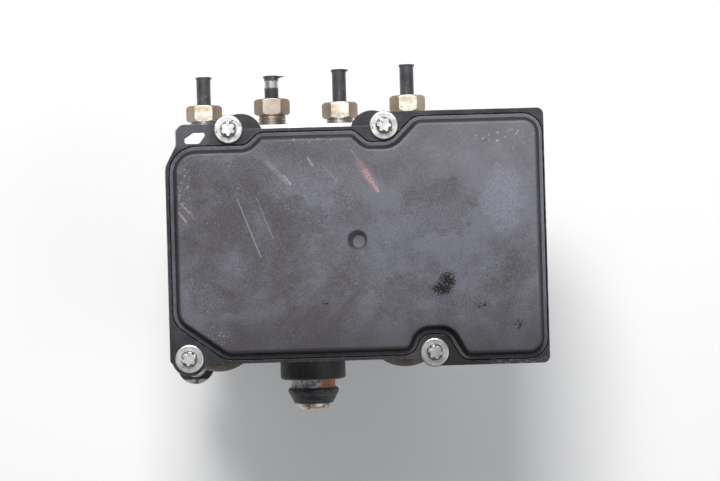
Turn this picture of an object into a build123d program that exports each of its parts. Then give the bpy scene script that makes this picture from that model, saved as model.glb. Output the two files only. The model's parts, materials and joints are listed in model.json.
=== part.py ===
from build123d import *
import math
import os

# Hydraulic brake pressure unit with its pump motor and electronic control unit.
# Z points from the motor towards the control unit's cover, Y towards the brake line
# fittings and X towards the side where the connector hangs over the valve block.
# The origin is the centre of the motor's flat end, on which the unit stands.

# Valve block
block_width = 91.0
block_height = 82.0
block_depth = 36.0
block_chamfer = 1.0

# Clearances
running_gap = 0.03
seat_gap = 0.1
loose_gap = 0.3

# Pump motor
motor_radius = 31.0
motor_length = 50.0
motor_wall = 1.8
motor_end_fillet = 4.5
motor_flange_radius = 34.0
motor_flange_thickness = 2.0
motor_ear_circle = 36.5
motor_ear_radius = 5.0
motor_ear_angles = (25.0, 155.0, 270.0)
motor_screw_radius = 2.5
motor_screw_depth = 8.0
motor_screw_head_radius = 4.2
motor_screw_head_height = 3.6
end_groove_radius = 13.0
end_groove_width = 2.4
end_groove_depth = 1.0
magnet_thickness = 5.5
magnet_angle = 140.0
magnet_overhang = 3.0
air_gap = 0.7
core_low = 11.0
slot_count = 12
slot_width = 3.0
slot_depth = 8.0
winding_height = 5.0
winding_inset = 1.6
winding_fillet = 2.2
shaft_radius = 4.0
shaft_low = 2.4
rear_bearing_radius = 8.0
rear_bearing_width = 5.0
front_bearing_radius = 13.0
front_bearing_width = 6.5
bearing_shield_width = 3.2
bearing_shield_depth = 0.8
front_journal_radius = 5.0
commutator_radius = 10.0
commutator_length = 5.0
commutator_gap = 0.5
commutator_bars = 12
commutator_slot = 0.6
commutator_slot_depth = 1.2
brush_plate_thickness = 3.0
brush_width = 5.0
brush_height = 4.0
brush_length = 7.0
brush_box_wall = 1.0
brush_spring_room = 3.0
brush_stand_off = 1.5
contact_spacing = 4.0
contact_width = 2.4
contact_thickness = 0.8
contact_bore_radius = 4.0
contact_y = 22.0

# Eccentric and pump elements
eccentric_offset = 1.2
eccentric_radius = 6.0
eccentric_ring_radius = 10.0
eccentric_ring_width = 9.0
pump_axis_height = 12.5
chamber_radius = 12.5
chamber_depth = 19.0
bore_overlap = 1.0
piston_radius = 3.25
piston_length = 15.0
spigot_radius = 1.65
spigot_length = 2.0
sleeve_radius = 5.5
sleeve_length = 17.5
pump_plug_radius = 7.0
pump_plug_length = 12.5
pump_plug_socket = 6.0
pump_plug_socket_depth = 3.0
plug_seat_depth = 5.0
plug_recess = 0.4
pump_spring_wire = 0.7
pump_spring_radius = 2.5
spring_turns = 5

# Accumulators
accumulator_spacing = 66.0
accumulator_radius = 9.0
accumulator_bore_depth = 20.0
accumulator_piston_height = 7.0
accumulator_piston_wall = 2.4
accumulator_piston_crown = 2.0
seal_groove_width = 1.6
seal_groove_depth = 1.2
cap_seat_depth = 3.0
cap_dome_height = 3.8
cap_edge = 0.8
cap_wall = 1.6
accumulator_spring_wire = 1.2
accumulator_spring_radius = 5.5

# Solenoid valves
valve_pitch = 22.0
valve_row_spacing = 24.0
valve_flange_radius = 5.5
valve_flange_depth = 5.0
valve_nose_radius = 4.0
valve_bore_depth = 13.0
valve_dome_radius = 3.3
valve_dome_height = 18.0
valve_dome_wall = 0.4
valve_dome_fillet = 1.2
valve_seat_depth = 3.0
valve_floor = 2.0
needle_radius = 0.9
plunger_slot_width = 1.0
plunger_slot_depth = 0.6
plunger_length = 11.0
plunger_travel = 0.3
coil_radius = 8.4
coil_bobbin_radius = 9.0
coil_height = 15.0
coil_lift = 0.8
coil_flange = 1.2
yoke_radius = 10.2
yoke_wall = 1.0

# Brake line ports, nuts and pipe stubs
port_pitch = 24.0
port_radius = 4.8
port_depth = 14.0
port_drill_radius = 1.8
port_drill_depth = 20.0
nut_thread_radius = 4.6
nut_hex = 11.0
nut_hex_height = 5.6
nut_collar_low = 2.6
nut_collar_high = 4.4
nut_chamfer = 0.7
nut_stem_gap = 1.2
pipe_radius = 2.5
pipe_wall = 0.9
pipe_flare_radius = 3.6
pipe_flare_height = 1.6
pipe_reach = (18.4, 18.3, 20.0, 21.1)
inlet_spacing = 62.0
inlet_from_top = 10.0
inlet_radius = 5.5
inlet_depth = 11.0
inlet_spotface_radius = 7.0
inlet_spotface_depth = 0.4

# Drilling plugs
ball_radius = 2.8
ball_depth = 3.4
ball_x = 14.0
ball_high_y = 24.5
ball_low_y = -19.0

# Bottom mount
stud_radius = 4.0
stud_thread_depth = 11.0
bush_puck_radius = 11.5
bush_puck_height = 7.3
bush_groove_radius = 7.75
bush_groove_height = 2.8
bush_cone_radius = 9.75
bush_tip_radius = 6.8
bush_cone_height = 5.6
bush_fillet = 1.2
stud_head_radius = 5.7
stud_head_height = 2.2
stud_head_fillet = 1.5

# Corner mount
bracket_thickness = 2.5
bracket_joggle = 3.0
bracket_screw_in_x = 15.5
bracket_screw_in_y = 8.0
bracket_width = 13.0
bracket_arm_width = 9.0
grommet_from_corner_x = 3.0
grommet_from_corner_y = 2.5
grommet_radius = 6.5
grommet_neck_radius = 4.4
grommet_flange = 2.6
grommet_fillet = 0.9
corner_sleeve_radius = 4.0
corner_sleeve_bore = 3.2
bracket_screw_radius = 3.0
bracket_screw_head = 5.0
bracket_screw_head_height = 4.0
bracket_screw_depth = 7.5

# Control unit housing
gasket_thickness = 0.8
gasket_width = 2.0
gasket_inset = 0.2
gasket_edge = 0.5
housing_height = 23.2
flange_thickness = 3.0
housing_overlap = 2.1
wing_reach = 34.3
body_step = 0.7
wing_step = 2.6
top_step = 2.0
ear_inset = 3.9
ear_height = 6.8
shoulder_drop = 7.4
wing_corner = 2.2
low_corner = 2.0
step_corner = 0.5
ear_corner = 3.0
ear_foot_corner = 1.5
shoulder_corner = 7.0
wall_inset = 1.3
wall_thickness = 2.2
partition_thickness = 2.0
partition_drop = 4.4
top_screw_inset = 19.4
corner_screw_inset = 4.4
screw_edge = 2.8
boss_radius = 5.0
corner_boss_radius = 5.9
column_radius = 4.6
top_lobe_radius = 7.6
top_lobe_height = 9.0
top_lobe_shift = 3.6
top_lobe_inset = 1.5
window_fillet = 0.9
window_low_gap = 0.3
window_rim = 2.8
window_from_screw = 7.0
window_slant = 2.9
window_step = 1.8

# Control unit cover
cover_rim = 1.5
cover_rim_right = 0.7
cover_rim_wing = 1.9
cover_gap = 0.4
cover_seat_depth = 1.8
cover_stand = 0.2
bead_width = 1.1
pan_height = 4.6
pan_taper = 18.0
pan_edge_fillet = 1.0
cover_wall = 1.8
least_corner = 0.4
shelf_drop = 5.5
notch_width = 11.5
notch_lean = 1.3
notch_rise = 6.3
notch_foot = 3.8
notch_corner = 4.5
shelf_run = 4.4
shelf_end = 2.0
shelf_corner = 4.0
shelf_wing_corner = 5.8
corner_cut = 17.2
corner_cut_rise = 12.4
cover_cut_corner = 8.0
cover_wing_corner = 6.5
cover_top_corner = 9.0
dimple_radius = 3.3
dimple_depth = 0.8

# Control unit screws
ecu_screw_radius = 2.5
ecu_screw_hole = 2.9
ecu_screw_flange_radius = 4.75
ecu_screw_flange_height = 1.2
ecu_screw_flange_fillet = 0.4
ecu_screw_star_radius = 2.35
ecu_screw_star_root = 1.75
ecu_screw_star_height = 3.0
ecu_screw_moat_radius = 2.75
ecu_screw_moat_depth = 0.5
ecu_screw_depth = 10.0
ecu_screw_turn = 25.0

# Circuit board and connector
board_thickness = 1.6
board_gap = 0.5
board_edge_gap = 0.8
coil_wire_hole = 1.0
coil_wire_shift = 5.0
board_post_radius = 2.2
post_inset = 11.0
processor_size = 16.0
chip_height = 1.4
driver_size = 8.0
driver_pitch = 12.0
driver_from_middle = 18.0
capacitor_radius = 3.2
capacitor_height = 3.0
capacitor_from_block = 8.0
capacitor_from_middle = 26.0
relay_size = 10.0
relay_height = 2.6
connector_inset = 2.6
connector_from_block = 4.5
connector_half_width = 34.0
connector_depth = 26.0
connector_wall = 2.0
connector_base = 5.0
connector_sink = 0.5
connector_corner = 3.0
pin_columns = 13
pin_rows = 2
pin_pitch = 4.0
pin_size = 0.8
pin_reach = 12.0
rib_thickness = 1.6
rib_height = 1.3

# Heights and places that follow
brush_plate_low = motor_length - brush_plate_thickness
commutator_low = brush_plate_low - commutator_gap - commutator_length
core_high = commutator_low - commutator_gap - winding_height
core_radius = motor_radius - motor_wall - seat_gap - magnet_thickness - air_gap
block_low = motor_length
block_high = block_low + block_depth
half_width = block_width / 2
half_height = block_height / 2
port_z = block_low + block_depth / 2
pump_z = block_low + pump_axis_height
housing_low = block_high + gasket_thickness
housing_high = housing_low + housing_height
cover_seat_z = housing_high - cover_seat_depth
partition_high = housing_high - partition_drop
partition_low = partition_high - partition_thickness
board_low = partition_high + board_gap

housing_left = -half_width - housing_overlap
housing_right = half_width + wing_reach
body_half = half_height - body_step
wing_half = body_half + wing_step
top_edge = body_half - top_step
ear_left = housing_left + ear_inset
ear_low = body_half - ear_height
shoulder_low = ear_low - shoulder_drop

screw_y = half_height - screw_edge
top_screw_x = half_width - top_screw_inset
corner_screw_x = half_width - corner_screw_inset
ecu_screws = (
    (-top_screw_x, screw_y, boss_radius),
    (top_screw_x, screw_y, boss_radius),
    (-corner_screw_x, -screw_y, corner_boss_radius),
    (corner_screw_x, -screw_y, boss_radius),
)
valve_places = [
    ((column - 1.5) * valve_pitch, row * valve_row_spacing / 2)
    for row in (1, -1)
    for column in range(4)
]
port_places = [(index - 1.5) * port_pitch for index in range(4)]
port_collars = (nut_collar_low, nut_collar_high, nut_collar_low, nut_collar_high)
accumulator_places = (-accumulator_spacing / 2, accumulator_spacing / 2)
inlet_places = (-inlet_spacing / 2, inlet_spacing / 2)
inlet_y = half_height - inlet_from_top
motor_ears = [
    (
        motor_ear_circle * math.cos(math.radians(angle)),
        motor_ear_circle * math.sin(math.radians(angle)),
    )
    for angle in motor_ear_angles
]
grommet_x = -half_width + grommet_from_corner_x
grommet_y = -half_height - grommet_from_corner_y
bracket_screw_x = -half_width + bracket_screw_in_x
bracket_screw_y = -half_height + bracket_screw_in_y
cover_high = housing_high + cover_stand
face_high = cover_high + pan_height


def rod(radius, start, end, direction, across, height=0.0):
    """A round rod along X, Y or Z, from start to end, with its axis at the two other places."""
    low = min(start, end)
    bar = Cylinder(radius, abs(end - start), align=(Align.CENTER, Align.CENTER, Align.MIN))
    if direction == "X":
        return Pos(low, across, height) * Rot(0, 90, 0) * bar
    if direction == "Y":
        return Pos(across, low, height) * Rot(-90, 0, 0) * bar
    return Pos(across, height, low) * bar


def block(x, y, z):
    """A box between two X, two Y and two Z places."""
    size = Box(x[1] - x[0], y[1] - y[0], z[1] - z[0])
    return Pos((x[0] + x[1]) / 2, (y[0] + y[1]) / 2, (z[0] + z[1]) / 2) * size


def prism(face, low, high):
    """An outline on the XY plane made into a plate between two heights."""
    return Pos(0, 0, low) * extrude(face, amount=high - low)


def outline(points, radii):
    """A closed outline with rounded corners."""
    return make_face(FilletPolyline(*points, radius=radii, close=True))


def shrunk(points, radii, inset):
    """Corners of a counter-clockwise outline moved inwards, each arc still about its own centre."""
    moved = []
    new_radii = []
    for index, point in enumerate(points):
        here = Vector(*point)
        entry = (here - Vector(*points[index - 1])).normalized()
        leave = (Vector(*points[(index + 1) % len(points)]) - here).normalized()
        inward = Vector(-entry.Y, entry.X) + Vector(-leave.Y, leave.X)
        place = here + inward * (2 * inset / inward.dot(inward))
        moved.append((place.X, place.Y))
        is_outer = entry.cross(leave).Z > 0
        change = -inset if is_outer else inset
        new_radii.append(max(radii[index] + change, least_corner))
    return moved, new_radii


def disc_face(x, y, radius):
    """A round outline at a place on the XY plane."""
    return Pos(x, y) * Circle(radius)


def ring(outer, inner, low, high):
    """A tube about the Z axis."""
    return rod(outer, low, high, "Z", 0) - rod(inner, low, high, "Z", 0)


def spring(radius, wire, length, turns):
    """A coil spring that stands on the XY plane."""
    path = Helix(pitch=(length - wire) / turns, height=length - wire, radius=radius)
    section = Plane(path @ 0, z_dir=path % 0) * RegularPolygon(wire / 2, 8)
    return Pos(0, 0, wire / 2) * sweep(section, path, is_frenet=True)


def group(solids):
    """Separate solids that make one named piece."""
    return Compound(children=list(solids))


def make_valve_block():
    """The machined aluminium block with every bore that its pieces sit in."""
    body = block((-half_width, half_width), (-half_height, half_height), (block_low, block_high))
    body = chamfer(body.edges(), block_chamfer)
    body -= rod(front_bearing_radius + running_gap, block_low, block_low + front_bearing_width, "Z", 0)
    body -= rod(chamber_radius, block_low, block_low + chamber_depth, "Z", 0)
    for side in (-1, 1):
        inner = side * (chamber_radius - bore_overlap)
        body -= rod(sleeve_radius, inner, side * half_width, "X", 0, pump_z)
        plug_floor = side * (half_width - pump_plug_length)
        body -= rod(pump_plug_radius, plug_floor, side * half_width, "X", 0, pump_z)
    for x, y in valve_places:
        body -= rod(valve_flange_radius, block_high - valve_flange_depth, block_high, "Z", x, y)
        body -= rod(valve_nose_radius, block_high - valve_bore_depth, block_high, "Z", x, y)
    for x in accumulator_places:
        top = -half_height + accumulator_bore_depth
        body -= rod(accumulator_radius, -half_height, top, "Y", x, port_z)
    for x in port_places:
        body -= rod(port_radius, half_height - port_depth, half_height, "Y", x, port_z)
        body -= rod(port_drill_radius, half_height - port_drill_depth, half_height, "Y", x, port_z)
    for x in inlet_places:
        body -= rod(inlet_radius, block_low, block_low + inlet_depth, "Z", x, inlet_y)
        body -= rod(inlet_spotface_radius, block_low, block_low + inlet_spotface_depth, "Z", x, inlet_y)
    for x, y in motor_ears:
        body -= rod(motor_screw_radius, block_low, block_low + motor_screw_depth, "Z", x, y)
    for x, y, radius in ecu_screws:
        body -= rod(ecu_screw_radius, block_high - ecu_screw_depth, block_high, "Z", x, y)
    body -= rod(contact_bore_radius, block_low, block_high, "Z", 0, contact_y)
    body -= rod(stud_radius, -half_height, -half_height + stud_thread_depth, "Y", 0, port_z)
    body -= rod(
        bracket_screw_radius, block_low, block_low + bracket_screw_depth, "Z",
        bracket_screw_x, bracket_screw_y,
    )
    for x, y, z, direction in ball_places():
        mouth = math.copysign(half_width if direction == "X" else half_height, x if direction == "X" else y)
        across = y if direction == "X" else x
        body -= rod(ball_radius, mouth, mouth - math.copysign(2 * ball_depth, mouth), direction, across, z)
    return body


def ball_places():
    """Where the cross drillings are closed by pressed balls: X, Y, Z and the drilling's direction."""
    upper = port_z + block_depth / 4
    return [
        (-half_width, ball_high_y, upper, "X"),
        (-half_width, ball_low_y, upper, "X"),
        (half_width, ball_high_y, upper, "X"),
        (half_width, ball_low_y, upper, "X"),
        (-ball_x, -half_height, upper, "Y"),
        (ball_x, -half_height, upper, "Y"),
    ]


def make_drilling_plugs():
    """Steel balls pressed into the ends of the cross drillings."""
    balls = []
    for x, y, z, direction in ball_places():
        if direction == "X":
            place = Pos(x - math.copysign(ball_depth, x), y, z)
        else:
            place = Pos(x, y - math.copysign(ball_depth, y), z)
        balls.append(place * Sphere(ball_radius))
    return group(balls)


def make_motor_can():
    """The drawn steel pot with its screw flange, end groove and bearing pocket."""
    can = rod(motor_radius, 0, motor_length, "Z", 0)
    can = fillet(can.edges().group_by(Axis.Z)[0], motor_end_fillet)
    flange = disc_face(0, 0, motor_flange_radius)
    for x, y in motor_ears:
        reach = math.hypot(x, y)
        web = Pos(x / 2, y / 2) * Rot(0, 0, math.degrees(math.atan2(y, x))) * Rectangle(reach, 2 * motor_ear_radius)
        flange += web + disc_face(x, y, motor_ear_radius)
    can += prism(flange, motor_length - motor_flange_thickness, motor_length)
    inner = rod(motor_radius - motor_wall, motor_wall, motor_length, "Z", 0)
    inner = fillet(inner.edges().group_by(Axis.Z)[0], motor_end_fillet - motor_wall)
    can -= inner
    pocket_wall = rear_bearing_radius + motor_wall
    can += ring(pocket_wall, rear_bearing_radius + running_gap, motor_wall / 2, shaft_low + rear_bearing_width)
    can -= ring(
        end_groove_radius + end_groove_width, end_groove_radius, 0, end_groove_depth
    )
    for x, y in motor_ears:
        can -= rod(motor_screw_radius + seat_gap, motor_length - motor_flange_thickness, motor_length, "Z", x, y)
    return can


def screw(shank_radius, shank_length, head_radius, head_height, socket_radius, socket_depth):
    """A screw with a six-lobe socket; its head's seat is on the XY plane and its shank points down."""
    head = Cylinder(head_radius, head_height, align=(Align.CENTER, Align.CENTER, Align.MIN))
    head = fillet(head.edges().group_by(Axis.Z)[-1], head_height * 0.25)
    shank = Pos(0, 0, -shank_length) * Cylinder(
        shank_radius, shank_length, align=(Align.CENTER, Align.CENTER, Align.MIN)
    )
    socket = extrude(star_face(socket_radius, socket_radius * 0.75), amount=socket_depth)
    return head + shank - Pos(0, 0, head_height - socket_depth) * socket


def star_face(tip_radius, root_radius):
    """The six-lobe outline of a star drive: a disc with six round bites."""
    face = Circle(tip_radius)
    bite_radius = tip_radius * 0.32
    bite_place = root_radius + bite_radius
    for index in range(6):
        angle = math.radians(60 * index)
        face -= disc_face(bite_place * math.cos(angle), bite_place * math.sin(angle), bite_radius)
    return face


def make_motor_screws():
    """Three screws that hold the motor flange to the block."""
    grip = motor_flange_thickness + motor_screw_depth - loose_gap
    one = screw(
        motor_screw_radius - running_gap, grip, motor_screw_head_radius, motor_screw_head_height,
        motor_screw_head_radius * 0.55, motor_screw_head_height * 0.6,
    )
    seat = motor_length - motor_flange_thickness
    return group(Pos(x, y, seat) * Rot(180, 0, 0) * one for x, y in motor_ears)


def make_magnets():
    """Two curved ferrite magnets against the can's wall."""
    outer = motor_radius - motor_wall - seat_gap
    ring_face = Circle(outer) - Circle(outer - magnet_thickness)
    half = magnet_angle / 2
    reach = 2 * outer
    edge = Vector(reach * math.cos(math.radians(half)), reach * math.sin(math.radians(half)))
    far = 2 * reach
    wedge = make_face(Polyline((0, 0), (edge.X, -edge.Y), (far, -edge.Y), (far, edge.Y), (edge.X, edge.Y), close=True))
    segment = prism(ring_face & wedge, core_low - magnet_overhang, core_high + magnet_overhang)
    return group(Rot(0, 0, turn) * segment for turn in (0, 180))


def make_rotor_core():
    """The slotted stack of steel sheets."""
    face = Circle(core_radius) - Circle(shaft_radius)
    for index in range(slot_count):
        turn = Rot(0, 0, 360 / slot_count * index)
        face -= turn * Pos(core_radius - slot_depth / 2, 0) * Rectangle(slot_depth, slot_width)
    return prism(face, core_low, core_high)


def make_rotor_windings():
    """Copper in the slots, joined by a rounded winding head at each end of the core."""
    head_inner = core_radius - slot_depth - winding_inset
    head_face = Circle(core_radius - winding_inset) - Circle(head_inner)
    low = prism(head_face, core_low - winding_height, core_low)
    low = fillet(low.edges().group_by(Axis.Z)[0], winding_fillet)
    high = prism(head_face, core_high, core_high + winding_height)
    high = fillet(high.edges().group_by(Axis.Z)[-1], winding_fillet)
    winding = low + high
    for index in range(slot_count):
        turn = Rot(0, 0, 360 / slot_count * index)
        bar = Pos(core_radius - (slot_depth + winding_inset) / 2, 0) * Rectangle(
            slot_depth - winding_inset - 2 * loose_gap, slot_width - 2 * seat_gap
        )
        winding += turn * prism(bar, core_low, core_high)
    return winding


def make_commutator():
    """Copper bars about an insulating hub."""
    face = Circle(commutator_radius) - Circle(shaft_radius)
    for index in range(commutator_bars):
        turn = Rot(0, 0, 360 / commutator_bars * (index + 0.5))
        face -= turn * Pos(commutator_radius, 0) * Rectangle(2 * commutator_slot_depth, commutator_slot)
    return prism(face, commutator_low, commutator_low + commutator_length)


def make_rotor_shaft():
    """The motor shaft with its bearing journals and the eccentric that drives the pump."""
    journal_high = block_low + front_bearing_width
    eccentric_low = pump_z - eccentric_ring_width / 2
    shaft = rod(shaft_radius, shaft_low, journal_high, "Z", 0)
    shaft += rod(front_journal_radius, block_low - 1, eccentric_low, "Z", 0)
    shaft += rod(
        eccentric_radius - running_gap, eccentric_low, eccentric_low + eccentric_ring_width,
        "Z", 0, eccentric_offset,
    )
    return shaft


def make_eccentric_ring():
    """The needle bearing's outer ring, which the pump pistons run against."""
    low = pump_z - eccentric_ring_width / 2
    tube = Cylinder(eccentric_ring_radius, eccentric_ring_width) - Cylinder(
        eccentric_radius, eccentric_ring_width
    )
    return Pos(0, eccentric_offset, low + eccentric_ring_width / 2) * tube


def make_rear_bearing():
    """The plain bearing in the pot's end."""
    return ring(rear_bearing_radius, shaft_radius + running_gap, shaft_low, shaft_low + rear_bearing_width)


def make_front_bearing():
    """The ball bearing that sits in the mouth of the pump chamber."""
    body = ring(
        front_bearing_radius, front_journal_radius + running_gap, block_low, block_low + front_bearing_width
    )
    middle = (front_bearing_radius + front_journal_radius) / 2
    half = bearing_shield_width / 2
    groove = ring(middle + half, middle - half, block_low, block_low + bearing_shield_depth)
    return body - groove


def make_brush_plate():
    """The plastic plate across the pot's mouth, with two brush boxes on its motor side."""
    outer = motor_radius - motor_wall - seat_gap
    plate = ring(outer, front_journal_radius + brush_box_wall, brush_plate_low, motor_length)
    box_low = brush_plate_low - brush_height - brush_box_wall
    start = commutator_radius + brush_stand_off
    half = brush_width / 2
    for turn in (0, 180):
        holder = block(
            (start, start + brush_length + brush_spring_room + brush_box_wall),
            (-half - brush_box_wall, half + brush_box_wall), (box_low, brush_plate_low),
        )
        holder -= block(
            (start, start + brush_length + brush_spring_room), (-half - seat_gap, half + seat_gap),
            (box_low + brush_box_wall - seat_gap, brush_plate_low),
        )
        plate += Rot(0, 0, turn) * holder
    for side in (-1, 1):
        x = side * contact_spacing / 2
        plate -= block(
            (x - contact_thickness / 2 - seat_gap, x + contact_thickness / 2 + seat_gap),
            (contact_y - contact_width / 2 - seat_gap, contact_y + contact_width / 2 + seat_gap),
            (brush_plate_low, motor_length),
        )
    return plate


def make_brushes():
    """Two carbon brushes against the commutator."""
    low = brush_plate_low - brush_height
    one = block(
        (commutator_radius + running_gap, commutator_radius + brush_length),
        (-brush_width / 2, brush_width / 2), (low, low + brush_height - seat_gap),
    )
    one -= rod(commutator_radius + running_gap, low, low + brush_height, "Z", 0)
    return group(Rot(0, 0, turn) * one for turn in (0, 180))


def make_motor_contacts():
    """Two blades that carry the motor's current through the block to the circuit board."""
    blades = []
    for side in (-1, 1):
        x = side * contact_spacing / 2
        blades.append(block(
            (x - contact_thickness / 2, x + contact_thickness / 2),
            (contact_y - contact_width / 2, contact_y + contact_width / 2),
            (brush_plate_low, board_low),
        ))
    return group(blades)


def piston_tip():
    return eccentric_ring_radius + eccentric_offset + seat_gap


def make_pump_piston(side):
    """A pump piston, drawn at its innermost place, just clear of the eccentric's sweep."""
    start = side * piston_tip()
    end = side * (piston_tip() + piston_length)
    body = rod(piston_radius - running_gap, start, end, "X", 0, pump_z)
    spigot = rod(spigot_radius, end, end + side * spigot_length, "X", 0, pump_z)
    return body + spigot


def sleeve_start():
    return half_width - pump_plug_length - sleeve_length


def make_pump_sleeve(side):
    """The hardened sleeve that a pump piston runs in."""
    start = side * sleeve_start()
    end = side * (sleeve_start() + sleeve_length)
    body = rod(sleeve_radius - running_gap, start, end, "X", 0, pump_z)
    return body - rod(piston_radius, start, end, "X", 0, pump_z)


def make_pump_plug(side):
    """The plug that closes a pump bore, with a six-sided socket outside and a spring seat inside."""
    floor = half_width - pump_plug_length
    mouth = half_width - plug_recess
    body = rod(pump_plug_radius - running_gap, side * floor, side * mouth, "X", 0, pump_z)
    body -= rod(piston_radius, side * floor, side * (floor + plug_seat_depth), "X", 0, pump_z)
    socket = extrude(RegularPolygon(pump_plug_socket / 2, 6, major_radius=False), amount=pump_plug_socket_depth)
    place = Pos(side * (mouth - pump_plug_socket_depth), 0, pump_z) * Rot(0, side * 90, 0)
    return body - place * socket


def make_pump_spring(side):
    """The spring that keeps a pump piston against the eccentric."""
    start = piston_tip() + piston_length
    end = half_width - pump_plug_length + plug_seat_depth
    coil = spring(pump_spring_radius, pump_spring_wire, end - start, spring_turns)
    return Pos(side * start, 0, pump_z) * Rot(0, side * 90, 0) * coil


def accumulator_top():
    return -half_height + accumulator_bore_depth - seat_gap


def make_accumulator_piston(x):
    """A cup-shaped piston at the inner end of its bore."""
    top = accumulator_top()
    body = rod(accumulator_radius - running_gap, top, top - accumulator_piston_height, "Y", x, port_z)
    wall = accumulator_radius - accumulator_piston_wall
    hollow = rod(wall, top - accumulator_piston_crown, top - accumulator_piston_height, "Y", x, port_z)
    groove_top = top - accumulator_piston_crown
    groove_end = groove_top - seal_groove_width
    groove = rod(accumulator_radius, groove_top, groove_end, "Y", x, port_z)
    groove -= rod(accumulator_radius - seal_groove_depth, groove_top, groove_end, "Y", x, port_z)
    return body - hollow - groove


def make_accumulator_cap(x):
    """The domed cap pressed into the mouth of an accumulator bore."""
    edge = -half_height
    rim_radius = accumulator_radius - running_gap
    rim = rod(rim_radius, edge + cap_seat_depth, edge - cap_edge, "Y", x, port_z)
    dome_rise = cap_dome_height - cap_edge
    sphere_radius = (rim_radius ** 2 + dome_rise ** 2) / (2 * dome_rise)
    dome = Pos(x, edge - cap_dome_height + sphere_radius, port_z) * Sphere(sphere_radius)
    dome &= rod(rim_radius, edge - cap_edge, edge - cap_dome_height, "Y", x, port_z)
    hollow = rod(rim_radius - cap_wall, edge + cap_seat_depth, edge - cap_edge / 2, "Y", x, port_z)
    return rim + dome - hollow


def make_accumulator_spring(x):
    """The spring between the piston's hollow and the cap."""
    top = accumulator_top() - accumulator_piston_crown
    bottom = -half_height - cap_edge / 2
    coil = spring(accumulator_spring_radius, accumulator_spring_wire, top - bottom, spring_turns)
    return Pos(x, bottom, port_z) * Rot(-90, 0, 0) * coil


def valve_body(x, y):
    """A valve cartridge: flange and nose in the block, and a thin-walled closed sleeve above it."""
    flange_low = block_high - valve_flange_depth
    nose_low = block_high - valve_bore_depth + seat_gap
    dome_top = block_high + valve_dome_height
    body = rod(valve_flange_radius - running_gap, flange_low, block_high, "Z", x, y)
    body += rod(valve_nose_radius - running_gap, nose_low, flange_low, "Z", x, y)
    dome = rod(valve_dome_radius, block_high, dome_top, "Z", x, y)
    body += fillet(dome.edges().group_by(Axis.Z)[-1], valve_dome_fillet)
    hollow_top = dome_top - 2 * valve_dome_wall
    inside = rod(valve_dome_radius - valve_dome_wall, block_high - valve_seat_depth, hollow_top, "Z", x, y)
    needle_bore = rod(needle_radius + seat_gap, nose_low + valve_floor, block_high - valve_seat_depth, "Z", x, y)
    return body - inside - needle_bore


def make_inlet_valves():
    """Four valves that are open at rest."""
    return group(valve_body(x, y) for x, y in valve_places[:4])


def make_outlet_valves():
    """Four valves that are closed at rest."""
    return group(valve_body(x, y) for x, y in valve_places[4:])


def make_plunger(x, y, is_inlet):
    """A valve's magnet plunger with its needle."""
    radius = valve_dome_radius - valve_dome_wall - running_gap
    hollow_top = block_high + valve_dome_height - 2 * valve_dome_wall
    top = hollow_top - seat_gap if is_inlet else hollow_top - plunger_travel - seat_gap
    bottom = top - plunger_length
    plunger = rod(radius, bottom, top, "Z", x, y)
    half = plunger_slot_width / 2
    plunger -= block((x - half, x + half), (y - radius, y - radius + plunger_slot_depth), (bottom, top))
    needle_tip = block_high - valve_bore_depth + valve_floor + 2 * plunger_travel + seat_gap
    needle = rod(needle_radius, needle_tip, bottom, "Z", x, y)
    return plunger + needle


def coil_low():
    return housing_low + coil_lift


def make_solenoid_coils():
    """Eight wound bobbins, one round each valve sleeve."""
    coils = []
    low = coil_low()
    high = low + coil_height
    for x, y in valve_places:
        bore = rod(valve_dome_radius + loose_gap, low, high, "Z", x, y)
        bobbin = rod(coil_radius, low, high, "Z", x, y)
        bobbin += rod(coil_bobbin_radius, low, low + coil_flange, "Z", x, y)
        bobbin += rod(coil_bobbin_radius, high - coil_flange, high, "Z", x, y)
        coils.append(bobbin - bore)
    return group(coils)


def make_coil_yokes():
    """The steel tube with a top washer that closes each coil's magnetic path."""
    yokes = []
    low = coil_low()
    high = low + coil_height + yoke_wall
    for x, y in valve_places:
        tube = rod(yoke_radius, low, high, "Z", x, y)
        tube -= rod(yoke_radius - yoke_wall, low, high - yoke_wall, "Z", x, y)
        tube -= rod(valve_dome_radius + loose_gap, high - yoke_wall, high, "Z", x, y)
        yokes.append(tube)
    return group(yokes)


def make_brake_nut(x, collar):
    """A pipe nut: six-sided head with turned ends above its threaded stem."""
    seat = half_height + collar
    stem_low = half_height - port_depth + pipe_flare_height + nut_stem_gap
    hexagon = extrude(RegularPolygon(nut_hex / 2, 6, major_radius=False), amount=nut_hex_height)
    corner = nut_hex / math.sqrt(3)
    turned = Cylinder(corner, nut_hex_height, align=(Align.CENTER, Align.CENTER, Align.MIN))
    turned = chamfer(turned.edges(), nut_chamfer)
    head = Pos(x, seat, port_z) * Rot(-90, 0, 0) * (hexagon & turned)
    stem = rod(nut_thread_radius, stem_low, seat, "Y", x, port_z)
    return head + stem - rod(pipe_radius + seat_gap, stem_low, seat + nut_hex_height, "Y", x, port_z)


def make_brake_nuts():
    """The four pipe nuts in the block's top face."""
    return group(make_brake_nut(x, collar) for x, collar in zip(port_places, port_collars))


def make_brake_pipe(x, reach):
    """A cut-off brake pipe with the flare that seals in the port."""
    low = half_height - port_depth + seat_gap
    body = rod(pipe_radius, low, half_height + reach, "Y", x, port_z)
    flare = rod(pipe_flare_radius, low, low + pipe_flare_height, "Y", x, port_z)
    flare = chamfer(flare.edges().group_by(Axis.Y)[-1], pipe_flare_radius - pipe_radius - seat_gap)
    return body + flare - rod(pipe_radius - pipe_wall, low, half_height + reach, "Y", x, port_z)


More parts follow.
